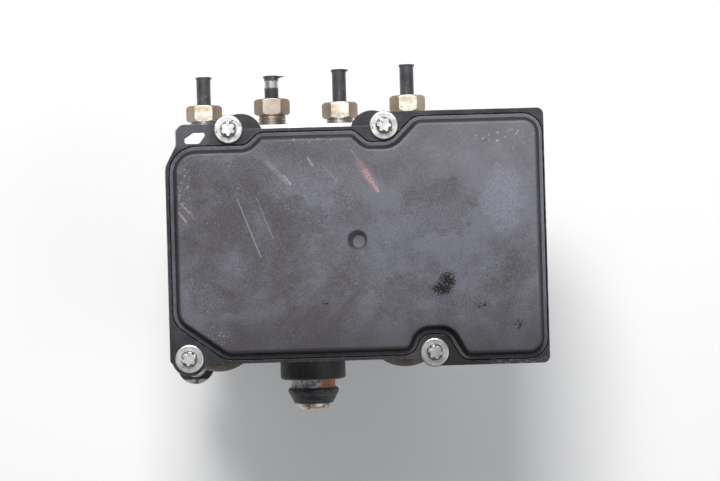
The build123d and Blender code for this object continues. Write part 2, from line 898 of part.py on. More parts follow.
def make_mount_bush():
    """The turned rubber bush under the block, with the groove that a carrier grips."""
    top = -half_height
    groove_top = top - bush_puck_height
    groove_low = groove_top - bush_groove_height
    bottom = groove_low - bush_cone_height
    profile = Polyline(
        (stud_radius + seat_gap, top), (bush_puck_radius, top), (bush_puck_radius, groove_top),
        (bush_groove_radius, groove_top), (bush_groove_radius, groove_low), (bush_cone_radius, groove_low),
        (bush_tip_radius, bottom), (stud_radius + seat_gap, bottom), close=True,
    )
    face = make_face(profile)
    outer = [v for v in face.vertices() if v.X > bush_groove_radius + seat_gap and v.Y < top - seat_gap]
    face = fillet(outer, bush_fillet)
    turned = revolve(face, Axis.Y)
    return Pos(0, 0, port_z) * turned


def bush_bottom():
    return -half_height - bush_puck_height - bush_groove_height - bush_cone_height


def make_mount_stud():
    """The stud through the bush, with its domed head."""
    top = -half_height + stud_thread_depth - loose_gap
    stud = rod(stud_radius - running_gap, bush_bottom(), top, "Y", 0, port_z)
    head = rod(stud_head_radius, bush_bottom(), bush_bottom() - stud_head_height, "Y", 0, port_z)
    head = fillet(head.edges().group_by(Axis.Y)[0], stud_head_fillet)
    return stud + head


def make_corner_bracket():
    """The stepped steel strap that carries the corner grommet past the block's edge."""
    high = block_low
    low = high - bracket_thickness
    ear_high = high - bracket_joggle
    ear_low_z = ear_high - bracket_thickness
    reach = math.hypot(grommet_x - bracket_screw_x, grommet_y - bracket_screw_y)
    heading = math.degrees(math.atan2(grommet_y - bracket_screw_y, grommet_x - bracket_screw_x))
    step_start = bracket_screw_head + loose_gap
    step_end = step_start + bracket_thickness
    arm = bracket_arm_width / 2
    strap = prism(Circle(bracket_width / 2), low, high)
    strap += block((0, step_end), (-arm, arm), (low, high))
    strap += block((step_start, step_end), (-arm, arm), (ear_low_z, high))
    strap += block((step_start, reach), (-arm, arm), (ear_low_z, ear_high))
    strap += rod(grommet_radius - loose_gap, ear_low_z, ear_high, "Z", reach)
    strap -= rod(bracket_screw_radius + seat_gap, low, high, "Z", 0)
    strap -= rod(grommet_neck_radius + seat_gap, ear_low_z, ear_high, "Z", reach)
    return Pos(bracket_screw_x, bracket_screw_y) * Rot(0, 0, heading) * strap


def block_face(x0, x1, y0, y1):
    """A rectangle between two X and two Y places."""
    return Pos((x0 + x1) / 2, (y0 + y1) / 2) * Rectangle(x1 - x0, y1 - y0)


def grommet_levels():
    """Lowest and highest Z of the grommet, whose flanges sit on both sides of the strap's ear."""
    ear_high = block_low - bracket_joggle
    ear_low_z = ear_high - bracket_thickness
    return ear_low_z - grommet_flange, ear_high + grommet_flange


def make_corner_grommet():
    """The rubber grommet in the strap's ear."""
    low, high = grommet_levels()
    body = rod(grommet_radius, low, low + grommet_flange, "Z", grommet_x, grommet_y)
    body += rod(grommet_radius, high - grommet_flange, high, "Z", grommet_x, grommet_y)
    rims = body.edges().group_by(Axis.Z)
    body = fillet(rims[0] + rims[-1], grommet_fillet)
    body += rod(grommet_neck_radius, low + grommet_fillet, high - grommet_fillet, "Z", grommet_x, grommet_y)
    return body - rod(corner_sleeve_radius, low, high, "Z", grommet_x, grommet_y)


def make_corner_sleeve():
    """The steel spacer tube in the grommet."""
    low, high = grommet_levels()
    tube = rod(corner_sleeve_radius - running_gap, low, high, "Z", grommet_x, grommet_y)
    return tube - rod(corner_sleeve_bore, low, high, "Z", grommet_x, grommet_y)


def make_bracket_screw():
    """The screw that holds the strap to the block."""
    grip = bracket_thickness + bracket_screw_depth - loose_gap
    one = screw(
        bracket_screw_radius - running_gap, grip, bracket_screw_head, bracket_screw_head_height,
        bracket_screw_head * 0.55, bracket_screw_head_height * 0.6,
    )
    seat = block_low - bracket_thickness
    return Pos(bracket_screw_x, bracket_screw_y, seat) * Rot(180, 0, 0) * one


def housing_outline():
    """The housing's outer edge: body, ear at one corner, wing past the block and screw bosses."""
    points = [
        (housing_left, -body_half),
        (corner_screw_x, -body_half),
        (corner_screw_x, -wing_half),
        (housing_right, -wing_half),
        (housing_right, wing_half),
        (top_screw_x, wing_half),
        (top_screw_x, top_edge),
        (-top_screw_x, top_edge),
        (-top_screw_x, body_half),
        (ear_left, body_half),
        (ear_left, ear_low),
        (housing_left, shoulder_low),
    ]
    radii = [low_corner] + [step_corner] * 2 + [wing_corner] * 2 + [step_corner] * 4
    radii += [ear_corner, ear_foot_corner, shoulder_corner]
    face = outline(points, radii)
    for x, y, radius in ecu_screws:
        face += disc_face(x, y, radius)
    return face


def cover_outline(inset=0.0):
    """The cover's outer edge, which keeps clear of the four screws, or the same moved inwards."""
    left = housing_left + cover_rim
    right = housing_right - cover_rim_right
    bottom = -body_half + cover_rim
    wing = wing_half - cover_rim_wing
    top = top_edge - cover_rim
    shelf = screw_y - shelf_drop
    notch = notch_width / 2
    points = [
        (left, bottom + corner_cut_rise),
        (left + corner_cut, bottom),
        (corner_screw_x - notch - notch_lean, bottom),
        (corner_screw_x - notch + notch_lean, -screw_y + notch_rise),
        (corner_screw_x + notch - notch_lean, -screw_y + notch_rise),
        (corner_screw_x + notch + notch_foot, -wing),
        (right, -wing),
        (right, wing),
        (top_screw_x + notch + shelf_run, wing),
        (top_screw_x + shelf_end, shelf),
        (top_screw_x - notch, shelf),
        (top_screw_x - notch - shelf_run, top),
        (-top_screw_x + notch + shelf_run, top),
        (-top_screw_x + notch, shelf),
        (left, shelf),
    ]
    radii = [cover_cut_corner] * 2 + [notch_corner] * 4 + [cover_wing_corner] * 2
    radii += [shelf_wing_corner] * 2 + [shelf_corner] * 4 + [cover_top_corner]
    return outline(*shrunk(points, radii, inset))


def window_outline():
    """The opening in the ear, through which the block's face shows."""
    low = ear_low + window_low_gap
    high = body_half - window_rim
    left = ear_left + window_rim
    right = -top_screw_x - window_from_screw
    points = [
        (left, low), (right - window_slant, low), (right, high), (left + window_slant, high),
        (left, low + window_step),
    ]
    return outline(points, [window_fillet] * 4 + [window_fillet / 2])


def make_ecu_housing():
    """The moulded housing: walls round the coils, partition, screw columns, ear, wing and connector."""
    edge = housing_outline()
    wall = cover_outline(wall_inset - cover_rim - seat_gap)
    cover_seat = cover_outline(-cover_gap)
    cavity = cover_outline(wall_thickness)
    body = prism(edge, housing_high - flange_thickness, housing_high)
    body += prism(wall, housing_low, housing_high - flange_thickness)
    for x, y, radius in ecu_screws:
        body += rod(column_radius, housing_low, housing_high - flange_thickness, "Z", x, y)
    for side in (-1, 1):
        lobe = disc_face(side * (top_screw_x - top_lobe_shift), top_edge - top_lobe_inset, top_lobe_radius)
        body += prism(lobe, housing_low, housing_low + top_lobe_height)
    body -= prism(cover_seat, cover_seat_z, housing_high)
    body -= prism(cavity, partition_high, housing_high)
    over_block = block_face(housing_left, half_width - rib_thickness / 2, -wing_half, wing_half)
    body -= prism(cavity & over_block, housing_low, partition_low)
    over_wing = block_face(half_width + rib_thickness / 2, housing_right, -wing_half, wing_half)
    body -= prism(cavity & over_wing, housing_low + wall_thickness, partition_low)
    for x, y, radius in ecu_screws:
        body -= rod(ecu_screw_hole, housing_low, housing_high, "Z", x, y)
    for x, y in valve_places:
        body -= rod(valve_dome_radius + 2 * loose_gap, partition_low, partition_high, "Z", x, y)
    body -= prism(window_outline(), housing_low, housing_high)
    for side in (-1, 1):
        x = side * contact_spacing / 2
        body -= rod(contact_width / 2 + loose_gap, partition_low, partition_high, "Z", x, contact_y)
    for x, y in board_posts():
        body += rod(board_post_radius, partition_low, board_low, "Z", x, y)
    body += connector_shell()
    for pin in make_connector_pins():
        body -= pin
    return body


def board_posts():
    """The low pads that the circuit board lies on."""
    left = housing_left + post_inset
    right = housing_right - post_inset
    high = half_height - 2 * post_inset
    return [(left, -high), (left, high), (right, -high), (right, high)]


def connector_box():
    """X and Y limits of the connector's outer walls."""
    x = (half_width + connector_from_block, housing_right - connector_inset)
    y = (-connector_half_width, connector_half_width)
    return x, y


def connector_shell():
    """The connector: a walled opening that hangs from the wing beside the motor."""
    x, y = connector_box()
    high = housing_low + connector_sink
    low = high - connector_depth
    shell = block(x, y, (low, high))
    shell = fillet(shell.edges().filter_by(Axis.Z), connector_corner)
    inside = block(
        (x[0] + connector_wall, x[1] - connector_wall), (y[0] + connector_wall, y[1] - connector_wall),
        (low, high - connector_base),
    )
    shell -= fillet(inside.edges().filter_by(Axis.Z), connector_corner / 2)
    for side in (-1, 1):
        rib_y = side * connector_half_width / 2
        shell += block(
            (x[1] - connector_sink, x[1] + rib_height), (rib_y - rib_thickness / 2, rib_y + rib_thickness / 2),
            (high - connector_depth / 2, high),
        )
        shell += block(
            (x[0] - rib_height, x[0] + connector_sink), (rib_y - rib_thickness / 2, rib_y + rib_thickness / 2),
            (low + connector_base, high),
        )
    return shell


def make_connector_pins():
    """Rows of contact pins from the circuit board down into the connector."""
    x, y = connector_box()
    centre = (x[0] + x[1]) / 2
    tip = housing_low + connector_sink - connector_base - pin_reach
    pins = []
    for row in range(pin_rows):
        for column in range(pin_columns):
            pin_x = centre + (row - (pin_rows - 1) / 2) * 2 * pin_pitch
            pin_y = (column - (pin_columns - 1) / 2) * pin_pitch
            half = pin_size / 2
            pins.append(block((pin_x - half, pin_x + half), (pin_y - half, pin_y + half), (tip, board_low)))
    return pins


def make_housing_gasket():
    """The seal between the housing's lower edge and the block."""
    outer = cover_outline(gasket_inset)
    inner = cover_outline(gasket_inset + gasket_width)
    across = half_width - gasket_edge
    upright = half_height - gasket_edge
    on_block = block_face(-across, across, -upright, upright)
    on_block_inner = block_face(-across + gasket_width, across - gasket_width, -upright, upright)
    return prism((outer & on_block) - (inner & on_block_inner), block_high, housing_low)


def make_ecu_cover():
    """The cover: a seat flange with a raised bead and a tapered pan with a shallow dimple."""
    body = prism(cover_outline(), cover_seat_z, cover_high)
    lean = pan_height * math.tan(math.radians(pan_taper))
    foot = cover_outline(bead_width)
    top = cover_outline(bead_width + lean)
    pan = loft([Pos(0, 0, cover_high) * foot, Pos(0, 0, face_high) * top], ruled=True)
    body += fillet(pan.faces().sort_by(Axis.Z)[-1].edges(), pan_edge_fillet)
    hollow = cover_outline(bead_width + lean + cover_wall)
    body -= prism(hollow, cover_seat_z, face_high - cover_wall)
    middle = (housing_left + housing_right) / 2
    sphere_radius = (dimple_radius ** 2 + dimple_depth ** 2) / (2 * dimple_depth)
    dimple = Pos(middle, 0, face_high + sphere_radius - dimple_depth) * Sphere(sphere_radius)
    return body - dimple


def make_ecu_screw():
    """A flange screw with a raised six-lobe drive."""
    flange = Cylinder(
        ecu_screw_flange_radius, ecu_screw_flange_height, align=(Align.CENTER, Align.CENTER, Align.MIN)
    )
    flange = fillet(flange.edges().group_by(Axis.Z)[-1], ecu_screw_flange_fillet)
    moat = Pos(0, 0, ecu_screw_flange_height - ecu_screw_moat_depth) * Cylinder(
        ecu_screw_moat_radius, ecu_screw_moat_depth, align=(Align.CENTER, Align.CENTER, Align.MIN)
    )
    star_height = ecu_screw_flange_height + ecu_screw_star_height
    star = extrude(star_face(ecu_screw_star_radius, ecu_screw_star_root), amount=star_height)
    shank_length = housing_high - block_high + ecu_screw_depth - loose_gap
    shank = Pos(0, 0, -shank_length) * Cylinder(
        ecu_screw_radius - running_gap, shank_length, align=(Align.CENTER, Align.CENTER, Align.MIN)
    )
    return flange - moat + star + shank


def make_ecu_screws():
    """The four screws that hold the control unit to the block."""
    one = make_ecu_screw()
    return group(
        Pos(x, y, housing_high) * Rot(0, 0, ecu_screw_turn * index) * one
        for index, (x, y, radius) in enumerate(ecu_screws)
    )


def make_circuit_board():
    """The circuit board on its pads."""
    face = cover_outline(wall_thickness + board_edge_gap)
    board = prism(face, board_low, board_low + board_thickness)
    for x, y in valve_places:
        board -= rod(coil_wire_hole, board_low, board_low + board_thickness, "Z", x + coil_wire_shift, y)
    return board


def make_board_components():
    """Processor, driver chips, capacitors and the motor relay on the board."""
    top = board_low + board_thickness
    middle = (housing_left + housing_right) / 2
    half = processor_size / 2
    pieces = [block((middle - half, middle + half), (-half, half), (top, top + chip_height))]
    half = driver_size / 2
    for column in range(4):
        x = (column - 2.5) * driver_pitch
        for y in (-driver_from_middle, driver_from_middle):
            pieces.append(block((x - half, x + half), (y - half, y + half), (top, top + chip_height)))
    x = half_width + capacitor_from_block
    for y in (-capacitor_from_middle, capacitor_from_middle):
        pieces.append(rod(capacitor_radius, top, top + capacitor_height, "Z", x, y))
    half = relay_size / 2
    pieces.append(block((x - half, x + half), (-half, half), (top, top + relay_height)))
    return group(pieces)


def save(name, piece):
    """Writes one named piece."""
    export_step(piece, os.path.join("parts", name + ".step"))


def main():
    os.makedirs("parts", exist_ok=True)
    save("valve_block", make_valve_block())
    save("drilling_plugs", make_drilling_plugs())
    save("motor_can", make_motor_can())
    save("motor_screws", make_motor_screws())
    save("motor_magnets", make_magnets())
    save("rotor_core", make_rotor_core())
    save("rotor_windings", make_rotor_windings())
    save("commutator", make_commutator())
    save("rotor_shaft", make_rotor_shaft())
    save("eccentric_ring", make_eccentric_ring())
    save("rear_bearing", make_rear_bearing())
    save("front_bearing", make_front_bearing())
    save("brush_plate", make_brush_plate())
    save("motor_brushes", make_brushes())
    save("motor_contacts", make_motor_contacts())
    for side, hand in ((-1, "left"), (1, "right")):
        save("pump_piston_" + hand, make_pump_piston(side))
        save("pump_sleeve_" + hand, make_pump_sleeve(side))
        save("pump_plug_" + hand, make_pump_plug(side))
        save("pump_spring_" + hand, make_pump_spring(side))
        x = side * accumulator_spacing / 2
        save("accumulator_piston_" + hand, make_accumulator_piston(x))
        save("accumulator_cap_" + hand, make_accumulator_cap(x))
        save("accumulator_spring_" + hand, make_accumulator_spring(x))
    save("inlet_valves", make_inlet_valves())
    save("outlet_valves", make_outlet_valves())
    for index, (x, y) in enumerate(valve_places):
        kind = "inlet" if index < 4 else "outlet"
        save(f"{kind}_plunger_{index % 4 + 1}", make_plunger(x, y, index < 4))
    save("solenoid_coils", make_solenoid_coils())
    save("coil_yokes", make_coil_yokes())
    save("brake_nuts", make_brake_nuts())
    for index, (x, reach) in enumerate(zip(port_places, pipe_reach)):
        save(f"brake_pipe_{index + 1}", make_brake_pipe(x, reach))
    save("mount_bush", make_mount_bush())
    save("mount_stud", make_mount_stud())
    save("corner_bracket", make_corner_bracket())
    save("corner_grommet", make_corner_grommet())
    save("corner_sleeve", make_corner_sleeve())
    save("bracket_screw", make_bracket_screw())
    save("ecu_housing", make_ecu_housing())
    save("housing_gasket", make_housing_gasket())
    save("ecu_cover", make_ecu_cover())
    save("ecu_screws", make_ecu_screws())
    save("circuit_board", make_circuit_board())
    save("board_components", make_board_components())
    save("connector_pins", group(make_connector_pins()))


main()
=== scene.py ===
import json
import math
import random

import bpy
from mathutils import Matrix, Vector


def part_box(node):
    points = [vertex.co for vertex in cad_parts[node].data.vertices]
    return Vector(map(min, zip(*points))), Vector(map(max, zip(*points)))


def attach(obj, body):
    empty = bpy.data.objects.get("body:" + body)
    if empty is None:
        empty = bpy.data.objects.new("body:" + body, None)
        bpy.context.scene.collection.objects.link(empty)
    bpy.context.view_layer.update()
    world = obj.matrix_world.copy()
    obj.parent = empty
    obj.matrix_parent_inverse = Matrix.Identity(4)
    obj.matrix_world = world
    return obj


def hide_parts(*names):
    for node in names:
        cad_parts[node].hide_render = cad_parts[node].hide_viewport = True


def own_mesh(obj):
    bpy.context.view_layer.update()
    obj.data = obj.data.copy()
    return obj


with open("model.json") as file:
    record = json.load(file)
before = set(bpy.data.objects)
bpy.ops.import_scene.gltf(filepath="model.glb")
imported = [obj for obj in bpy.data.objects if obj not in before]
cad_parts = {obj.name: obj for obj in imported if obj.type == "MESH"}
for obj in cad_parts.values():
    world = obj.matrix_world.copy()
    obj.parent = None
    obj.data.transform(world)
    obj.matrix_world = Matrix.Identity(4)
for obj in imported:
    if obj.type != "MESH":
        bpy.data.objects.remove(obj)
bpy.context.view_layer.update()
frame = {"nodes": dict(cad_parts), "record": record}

# Looks of a hydraulic brake pressure unit that has seen some years of road dirt.
# Metres, in the part's own frame: Z up to the control unit's cover, Y to the brake pipes.
# Colours are linear red, green and blue. Noise scales are in cells a metre.

random.seed(7)
MM = 0.001
X, Y, Z = range(3)

# Places taken from the part
cover_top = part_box("ecu_cover")[1].z
block_face_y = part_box("valve_block")[1].y
nut_foot_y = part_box("brake_nuts")[0].y
bush_tip_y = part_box("mount_bush")[0].y
pipe_boxes = [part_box(f"brake_pipe_{number}") for number in range(1, 5)]
pipe_middles = [(low.x + high.x) / 2 for low, high in pipe_boxes]
pipe_tips = [high.y for low, high in pipe_boxes]
port_z = (pipe_boxes[0][0].z + pipe_boxes[0][1].z) / 2

# Ovals on the cover, in millimetres: centre, half widths, raggedness and strength
brown_areas = {
    "upper left": ((-28.0, 23.0), (17.0, 7.0), 2.6, 1.0),
    "left of the dimple": ((-3.0, 7.5), (12.0, 7.0), 2.6, 1.0),
    "right of the dimple": ((43.0, 9.0), (11.0, 9.0), 2.6, 0.8),
    "lower left": ((-31.0, -18.5), (11.0, 6.0), 2.6, 0.8),
    "left of the stain": ((30.5, -19.5), (12.0, 9.0), 2.6, 1.0),
}
pale_areas = {
    "right": ((66.0, 12.0), (7.5, 11.0), 2.6, 1.0),
    "above the dimple": ((3.5, 18.0), (15.0, 9.0), 2.6, 0.5),
}
gritty_corners = {
    "lower left": ((-34.5, -31.0), (7.0, 3.5), 2.0, 1.0),
    "left edge": ((-42.0, 20.0), (3.0, 12.0), 2.0, 1.0),
    "upper edge": ((2.0, 34.5), (16.0, 2.6), 2.0, 1.0),
    "upper right": ((66.0, 33.0), (10.0, 4.0), 2.0, 1.0),
}
dense_stains = {
    "top": ((45.7, -14.4), (2.6, 3.0), 4.0, 1.0),
    "foot": ((43.9, -17.0), (3.2, 2.1), 4.0, 1.0),
}
thin_stains = {
    "right of the large stain": ((57.0, -23.0), (1.7, 1.0), 4.5, 1.0),
    "below the dimple": ((5.0, -20.6), (1.2, 0.9), 4.0, 1.0),
    "lower right": ((69.2, -29.5), (1.1, 1.7), 4.5, 1.0),
}
speck_fields = {
    "below the large stain": ((50.5, -22.5), (6.5, 3.5), 2.0, 1.0),
    "right of the large stain": ((63.0, -12.0), (6.0, 7.0), 2.0, 1.0),
}
# Painted shade in the cover's dimple: a dark ring, and a middle that the shade leaves out
dimple_shade_ring = {"rim": ((16.1, 0.0), (3.5, 3.5), 0.5, 1.0)}
dimple_unshaded_middle = {"middle": ((16.6, -0.5), (2.1, 2.1), 0.5, 1.0)}

# Strokes on the cover, in millimetres: start, end, width, raggedness and strength
speck_trail = {"down from the upper edge": ((36.5, 35.0), (43.5, 8.0), 2.6, 7.0, 1.0)}
pink_smears = {
    "body": ((19.2, 22.8), (21.2, 19.6), 1.5, 3.0, 0.85),
    "point": ((20.6, 20.6), (23.4, 16.2), 0.85, 1.8, 0.9),
    "tail": ((17.6, 25.4), (22.4, 18.0), 2.2, 5.0, 0.32),
    "line above": ((14.8, 30.0), (19.4, 23.0), 0.30, 0.9, 0.45),
}
faded_smears = {
    "dash": ((0.4, 27.7), (1.8, 25.2), 0.65, 1.6, 0.70),
    "left tail": ((-13.2, 26.5), (-6.8, 20.0), 1.3, 3.4, 0.26),
    "left point": ((-7.8, 21.9), (-5.7, 19.2), 0.60, 1.5, 0.72),
    "upper stroke at the edge": ((-42.4, 13.7), (-39.6, 10.6), 0.45, 1.7, 0.70),
    "lower stroke at the edge": ((-43.0, 10.6), (-40.7, 7.5), 0.50, 1.7, 0.70),
    "faint stroke at the edge": ((-39.4, 11.4), (-37.9, 8.2), 0.35, 1.5, 0.35),
}
scratches = {
    "long": ((-23.6, 14.7), (-16.2, -4.8), 0.22, 0.7, 0.40),
    "short": ((-17.3, 15.2), (-12.0, 1.4), 0.20, 0.7, 0.26),
    "fine": ((5.0, 25.5), (9.8, 19.8), 0.20, 0.8, 0.16),
    "by the lower right screw": ((49.0, -34.0), (51.0, -37.2), 0.5, 1.6, 0.5),
}

# An oval of grease on the housing, by the lower right screw
housing_grease = {"by the screw": ((50.0, -38.0), (10.0, 7.0), 1.0, 1.0)}


# Nodes of a material


def add(tree, kind, inputs=None, **settings):
    """A shader node with its settings and its inputs, each a constant or another node's output."""
    made = tree.nodes.new(kind)
    for key, value in settings.items():
        setattr(made, key, value)
    for key, value in (inputs or {}).items():
        if isinstance(value, bpy.types.NodeSocket):
            tree.links.new(value, made.inputs[key])
        else:
            made.inputs[key].default_value = value
    return made


def arithmetic(tree, operation, first, second=0.0, clamp=False):
    """The result of one sum on two values."""
    made = add(tree, "ShaderNodeMath", {0: first, 1: second}, operation=operation, use_clamp=clamp)
    return made.outputs[0]


def noise(tree, place, scale, detail=4.0, roughness=0.6, distortion=0.0):
    """Soft noise between 0 and 1."""
    made = add(tree, "ShaderNodeTexNoise", {
        "Vector": place, "Scale": scale, "Detail": detail, "Roughness": roughness,
        "Distortion": distortion,
    })
    return made.outputs["Fac"]


def fade(tree, value, low, high):
    """0 where the value is at low and 1 at high, with a smooth step between."""
    made = add(tree, "ShaderNodeMapRange", {
        "Value": value, "From Min": low, "From Max": high,
    }, interpolation_type="SMOOTHSTEP")
    return made.outputs["Result"]


def both(tree, *marks):
    """Marks multiplied together."""
    total = marks[0]
    for mark in marks[1:]:
        total = arithmetic(tree, "MULTIPLY", total, mark)
    return total


def either(tree, *marks):
    """The strongest of several marks."""
    total = marks[0]
    for mark in marks[1:]:
        total = arithmetic(tree, "MAXIMUM", total, mark)
    return total


def outside(tree, mark):
    """1 where a mark is 0, and 0 where it is 1."""
    return arithmetic(tree, "SUBTRACT", 1.0, mark)


def wander(tree, grain, reach):
    """A noise made to swing about zero, over a reach in all."""
    return both(tree, arithmetic(tree, "SUBTRACT", grain, 0.5), reach)


def blend_colour(tree, share, first, second):
    """Two colours mixed by a share."""
    made = add(tree, "ShaderNodeMix", data_type="RGBA")
    share_input, first_input, second_input = 0, 6, 7
    for index, value in ((share_input, share), (first_input, first), (second_input, second)):
        if isinstance(value, bpy.types.NodeSocket):
            tree.links.new(value, made.inputs[index])
        elif index == share_input:
            made.inputs[index].default_value = value
        else:
            made.inputs[index].default_value = (*value, 1.0)
    return made.outputs[2]


def paint(tree, base, colour, *marks, strength=1.0):
    """A base with a colour laid over it where all the marks are."""
    return blend_colour(tree, both(tree, *marks, strength), base, colour)


def mottled(tree, broad, shade, colour, low=0.3, high=0.7):
    """Two tones of a base, spread by a broad noise."""
    return blend_colour(tree, fade(tree, broad, low, high), shade, colour)


def stretched(tree, place, x, y, z):
    """The place with its axes scaled, which draws a noise out into streaks."""
    made = add(tree, "ShaderNodeVectorMath", {0: place, 1: (x, y, z)}, operation="MULTIPLY")
    return made.outputs[0]


def axis_value(tree, place, axis):
    """The X, Y or Z of a place."""
    return add(tree, "ShaderNodeSeparateXYZ", {0: place}).outputs[axis]


def ramp(tree, place, axis, start, end):
    """0 where an axis is at the start and 1 at the end, with a smooth step between."""
    return fade(tree, axis_value(tree, place, axis), start, end)


def band(tree, value, start, end, edge):
    """1 between two values, with a smooth step inside each."""
    return both(tree, fade(tree, value, start, start + edge), fade(tree, value, end, end - edge))


def beside(tree, place, x, full, none):
    """1 within one distance of an X and 0 past another, on both sides."""
    away = arithmetic(tree, "SUBTRACT", axis_value(tree, place, X), x)
    return fade(tree, arithmetic(tree, "ABSOLUTE", away), none, full)


def facing(tree, axis):
    """How far the surface faces along X, Y or Z, from -1 to 1."""
    geometry = add(tree, "ShaderNodeNewGeometry")
    return axis_value(tree, geometry.outputs["Normal"], axis)


def edge_share(tree, radius):
    """1 on the piece's edges and 0 on its faces, from how the normal bends near by."""
    bent = add(tree, "ShaderNodeBevel", {"Radius": radius}, samples=4)
    geometry = add(tree, "ShaderNodeNewGeometry")
    alike = add(tree, "ShaderNodeVectorMath", {
        0: bent.outputs[0], 1: geometry.outputs["Normal"],
    }, operation="DOT_PRODUCT").outputs["Value"]
    slight_bend, full_bend = 0.02, 0.25
    return fade(tree, outside(tree, alike), slight_bend, full_bend)


def crevice_share(tree, reach, low=0.25, high=0.75):
    """1 deep in a corner or a gap narrower than the reach, 0 in the open."""
    open_share = add(tree, "ShaderNodeAmbientOcclusion", {"Distance": reach}, samples=6).outputs["AO"]
    return fade(tree, open_share, high, low)


def stroke(tree, place, start, end, width, ragged, grain):
    """1 along a line on the XY plane, in millimetres, with a ragged edge."""
    x0, y0 = start[0] * MM, start[1] * MM
    run = Vector((end[0] * MM - x0, end[1] * MM - y0, 0.0))
    flat = stretched(tree, place, 1.0, 1.0, 0.0)
    from_start = add(tree, "ShaderNodeVectorMath", {
        0: flat, 1: (x0, y0, 0.0),
    }, operation="SUBTRACT").outputs[0]
    along = add(tree, "ShaderNodeVectorMath", {
        0: from_start, 1: tuple(run / run.length_squared),
    }, operation="DOT_PRODUCT").outputs["Value"]
    share = arithmetic(tree, "MAXIMUM", arithmetic(tree, "MINIMUM", along, 1.0), 0.0)
    nearest = add(tree, "ShaderNodeVectorMath", {0: tuple(run), "Scale": share}, operation="SCALE")
    away = add(tree, "ShaderNodeVectorMath", {
        0: from_start, 1: nearest.outputs[0],
    }, operation="DISTANCE").outputs["Value"]
    core = 0.4 * width
    return fade(tree, arithmetic(tree, "ADD", away, wander(tree, grain, ragged * MM)), width * MM, core * MM)


def oval(tree, place, centre, size, ragged, grain):
    """1 inside an oval on the XY plane, in millimetres, with a ragged edge."""
    x, y = centre
    offset = add(tree, "ShaderNodeVectorMath", {
        0: stretched(tree, place, 1.0, 1.0, 0.0), 1: (x * MM, y * MM, 0.0),
    }, operation="SUBTRACT").outputs[0]
    scaled = stretched(tree, offset, 1 / (size[0] * MM), 1 / (size[1] * MM), 0.0)
    away = add(tree, "ShaderNodeVectorMath", {0: scaled}, operation="LENGTH").outputs["Value"]
    rim_start, rim_end = 0.8, 1.1
    return fade(tree, arithmetic(tree, "ADD", away, wander(tree, grain, ragged)), rim_end, rim_start)


def strokes(tree, place, marks, grain):
    """The strongest of several strokes, each at its own strength."""
    return either(tree, *[
        both(tree, stroke(tree, place, start, end, width, ragged, grain), strength)
        for start, end, width, ragged, strength in marks.values()
    ])


def ovals(tree, place, marks, grain):
    """The strongest of several ovals, each at its own strength."""
    return either(tree, *[
        both(tree, oval(tree, place, centre, size, ragged, grain), strength)
        for centre, size, ragged, strength in marks.values()
    ])


class Finish:
    """A procedural material under construction; places are the part's own, in metres."""

    def __init__(self, name, metallic, **constants):
        self.material = bpy.data.materials.new(name)
        self.material.use_nodes = True
        self.tree = self.material.node_tree
        self.shader = self.tree.nodes["Principled BSDF"]
        self.shader.inputs["Metallic"].default_value = metallic
        for key, value in constants.items():
            self.shader.inputs[key.replace("_", " ")].default_value = value
        self.place = add(self.tree, "ShaderNodeTexCoord").outputs["Object"]

    def colour(self, value):
        self.tree.links.new(value, self.shader.inputs["Base Color"])

    def metallic(self, value):
        self.tree.links.new(value, self.shader.inputs["Metallic"])

    def roughness(self, low, high, value):
        """Roughness that runs between two values with a share."""
        made = add(self.tree, "ShaderNodeMapRange", {"Value": value, "To Min": low, "To Max": high})
        self.tree.links.new(made.outputs["Result"], self.shader.inputs["Roughness"])

    def surface(self, height, depth, soft_edge=0.0):
        """Bumps of a depth in metres, on edges rounded by a small radius."""
        bump = add(self.tree, "ShaderNodeBump", {"Height": height, "Distance": depth, "Strength": 1.0})
        if soft_edge:
            bent = add(self.tree, "ShaderNodeBevel", {"Radius": soft_edge}, samples=6)
            self.tree.links.new(bent.outputs[0], bump.inputs["Normal"])
        self.tree.links.new(bump.outputs[0], self.shader.inputs["Normal"])


# Materials


def make_metal(name, colour, shade, rough, grain=900.0, depth=0.01 * MM, soft_edge=0.0,
               stretch=(1.0, 1.0, 1.0), stain=None, stain_amount=(0.6, 0.8)):
    """A metal with a fine grain, uneven colour and roughness and, if asked, stains."""
    finish = Finish(name, 1.0)
    tree = finish.tree
    broad = noise(tree, finish.place, 120.0, detail=5.0)
    fine = noise(tree, stretched(tree, finish.place, *stretch), grain, detail=3.0)
    base = mottled(tree, broad, shade, colour)
    if stain:
        mark = fade(tree, noise(tree, finish.place, 260.0, detail=8.0, roughness=0.7), *stain_amount)
        base = paint(tree, base, stain, mark)
        finish.metallic(outside(tree, mark))
    finish.colour(base)
    finish.roughness(*rough, broad)
    finish.surface(fine, depth, soft_edge)
    return finish.material


def make_moulding(name, colour, shade, rough, grain=1600.0, depth=0.02 * MM, soft_edge=0.0):
    """Plain moulded plastic or rubber with a fine grain."""
    finish = Finish(name, 0.0)
    tree = finish.tree
    broad = noise(tree, finish.place, 90.0, detail=5.0)
    fine = noise(tree, finish.place, grain, detail=2.0)
    finish.colour(mottled(tree, broad, shade, colour))
    finish.roughness(*rough, broad)
    finish.surface(fine, depth, soft_edge)
    return finish.material


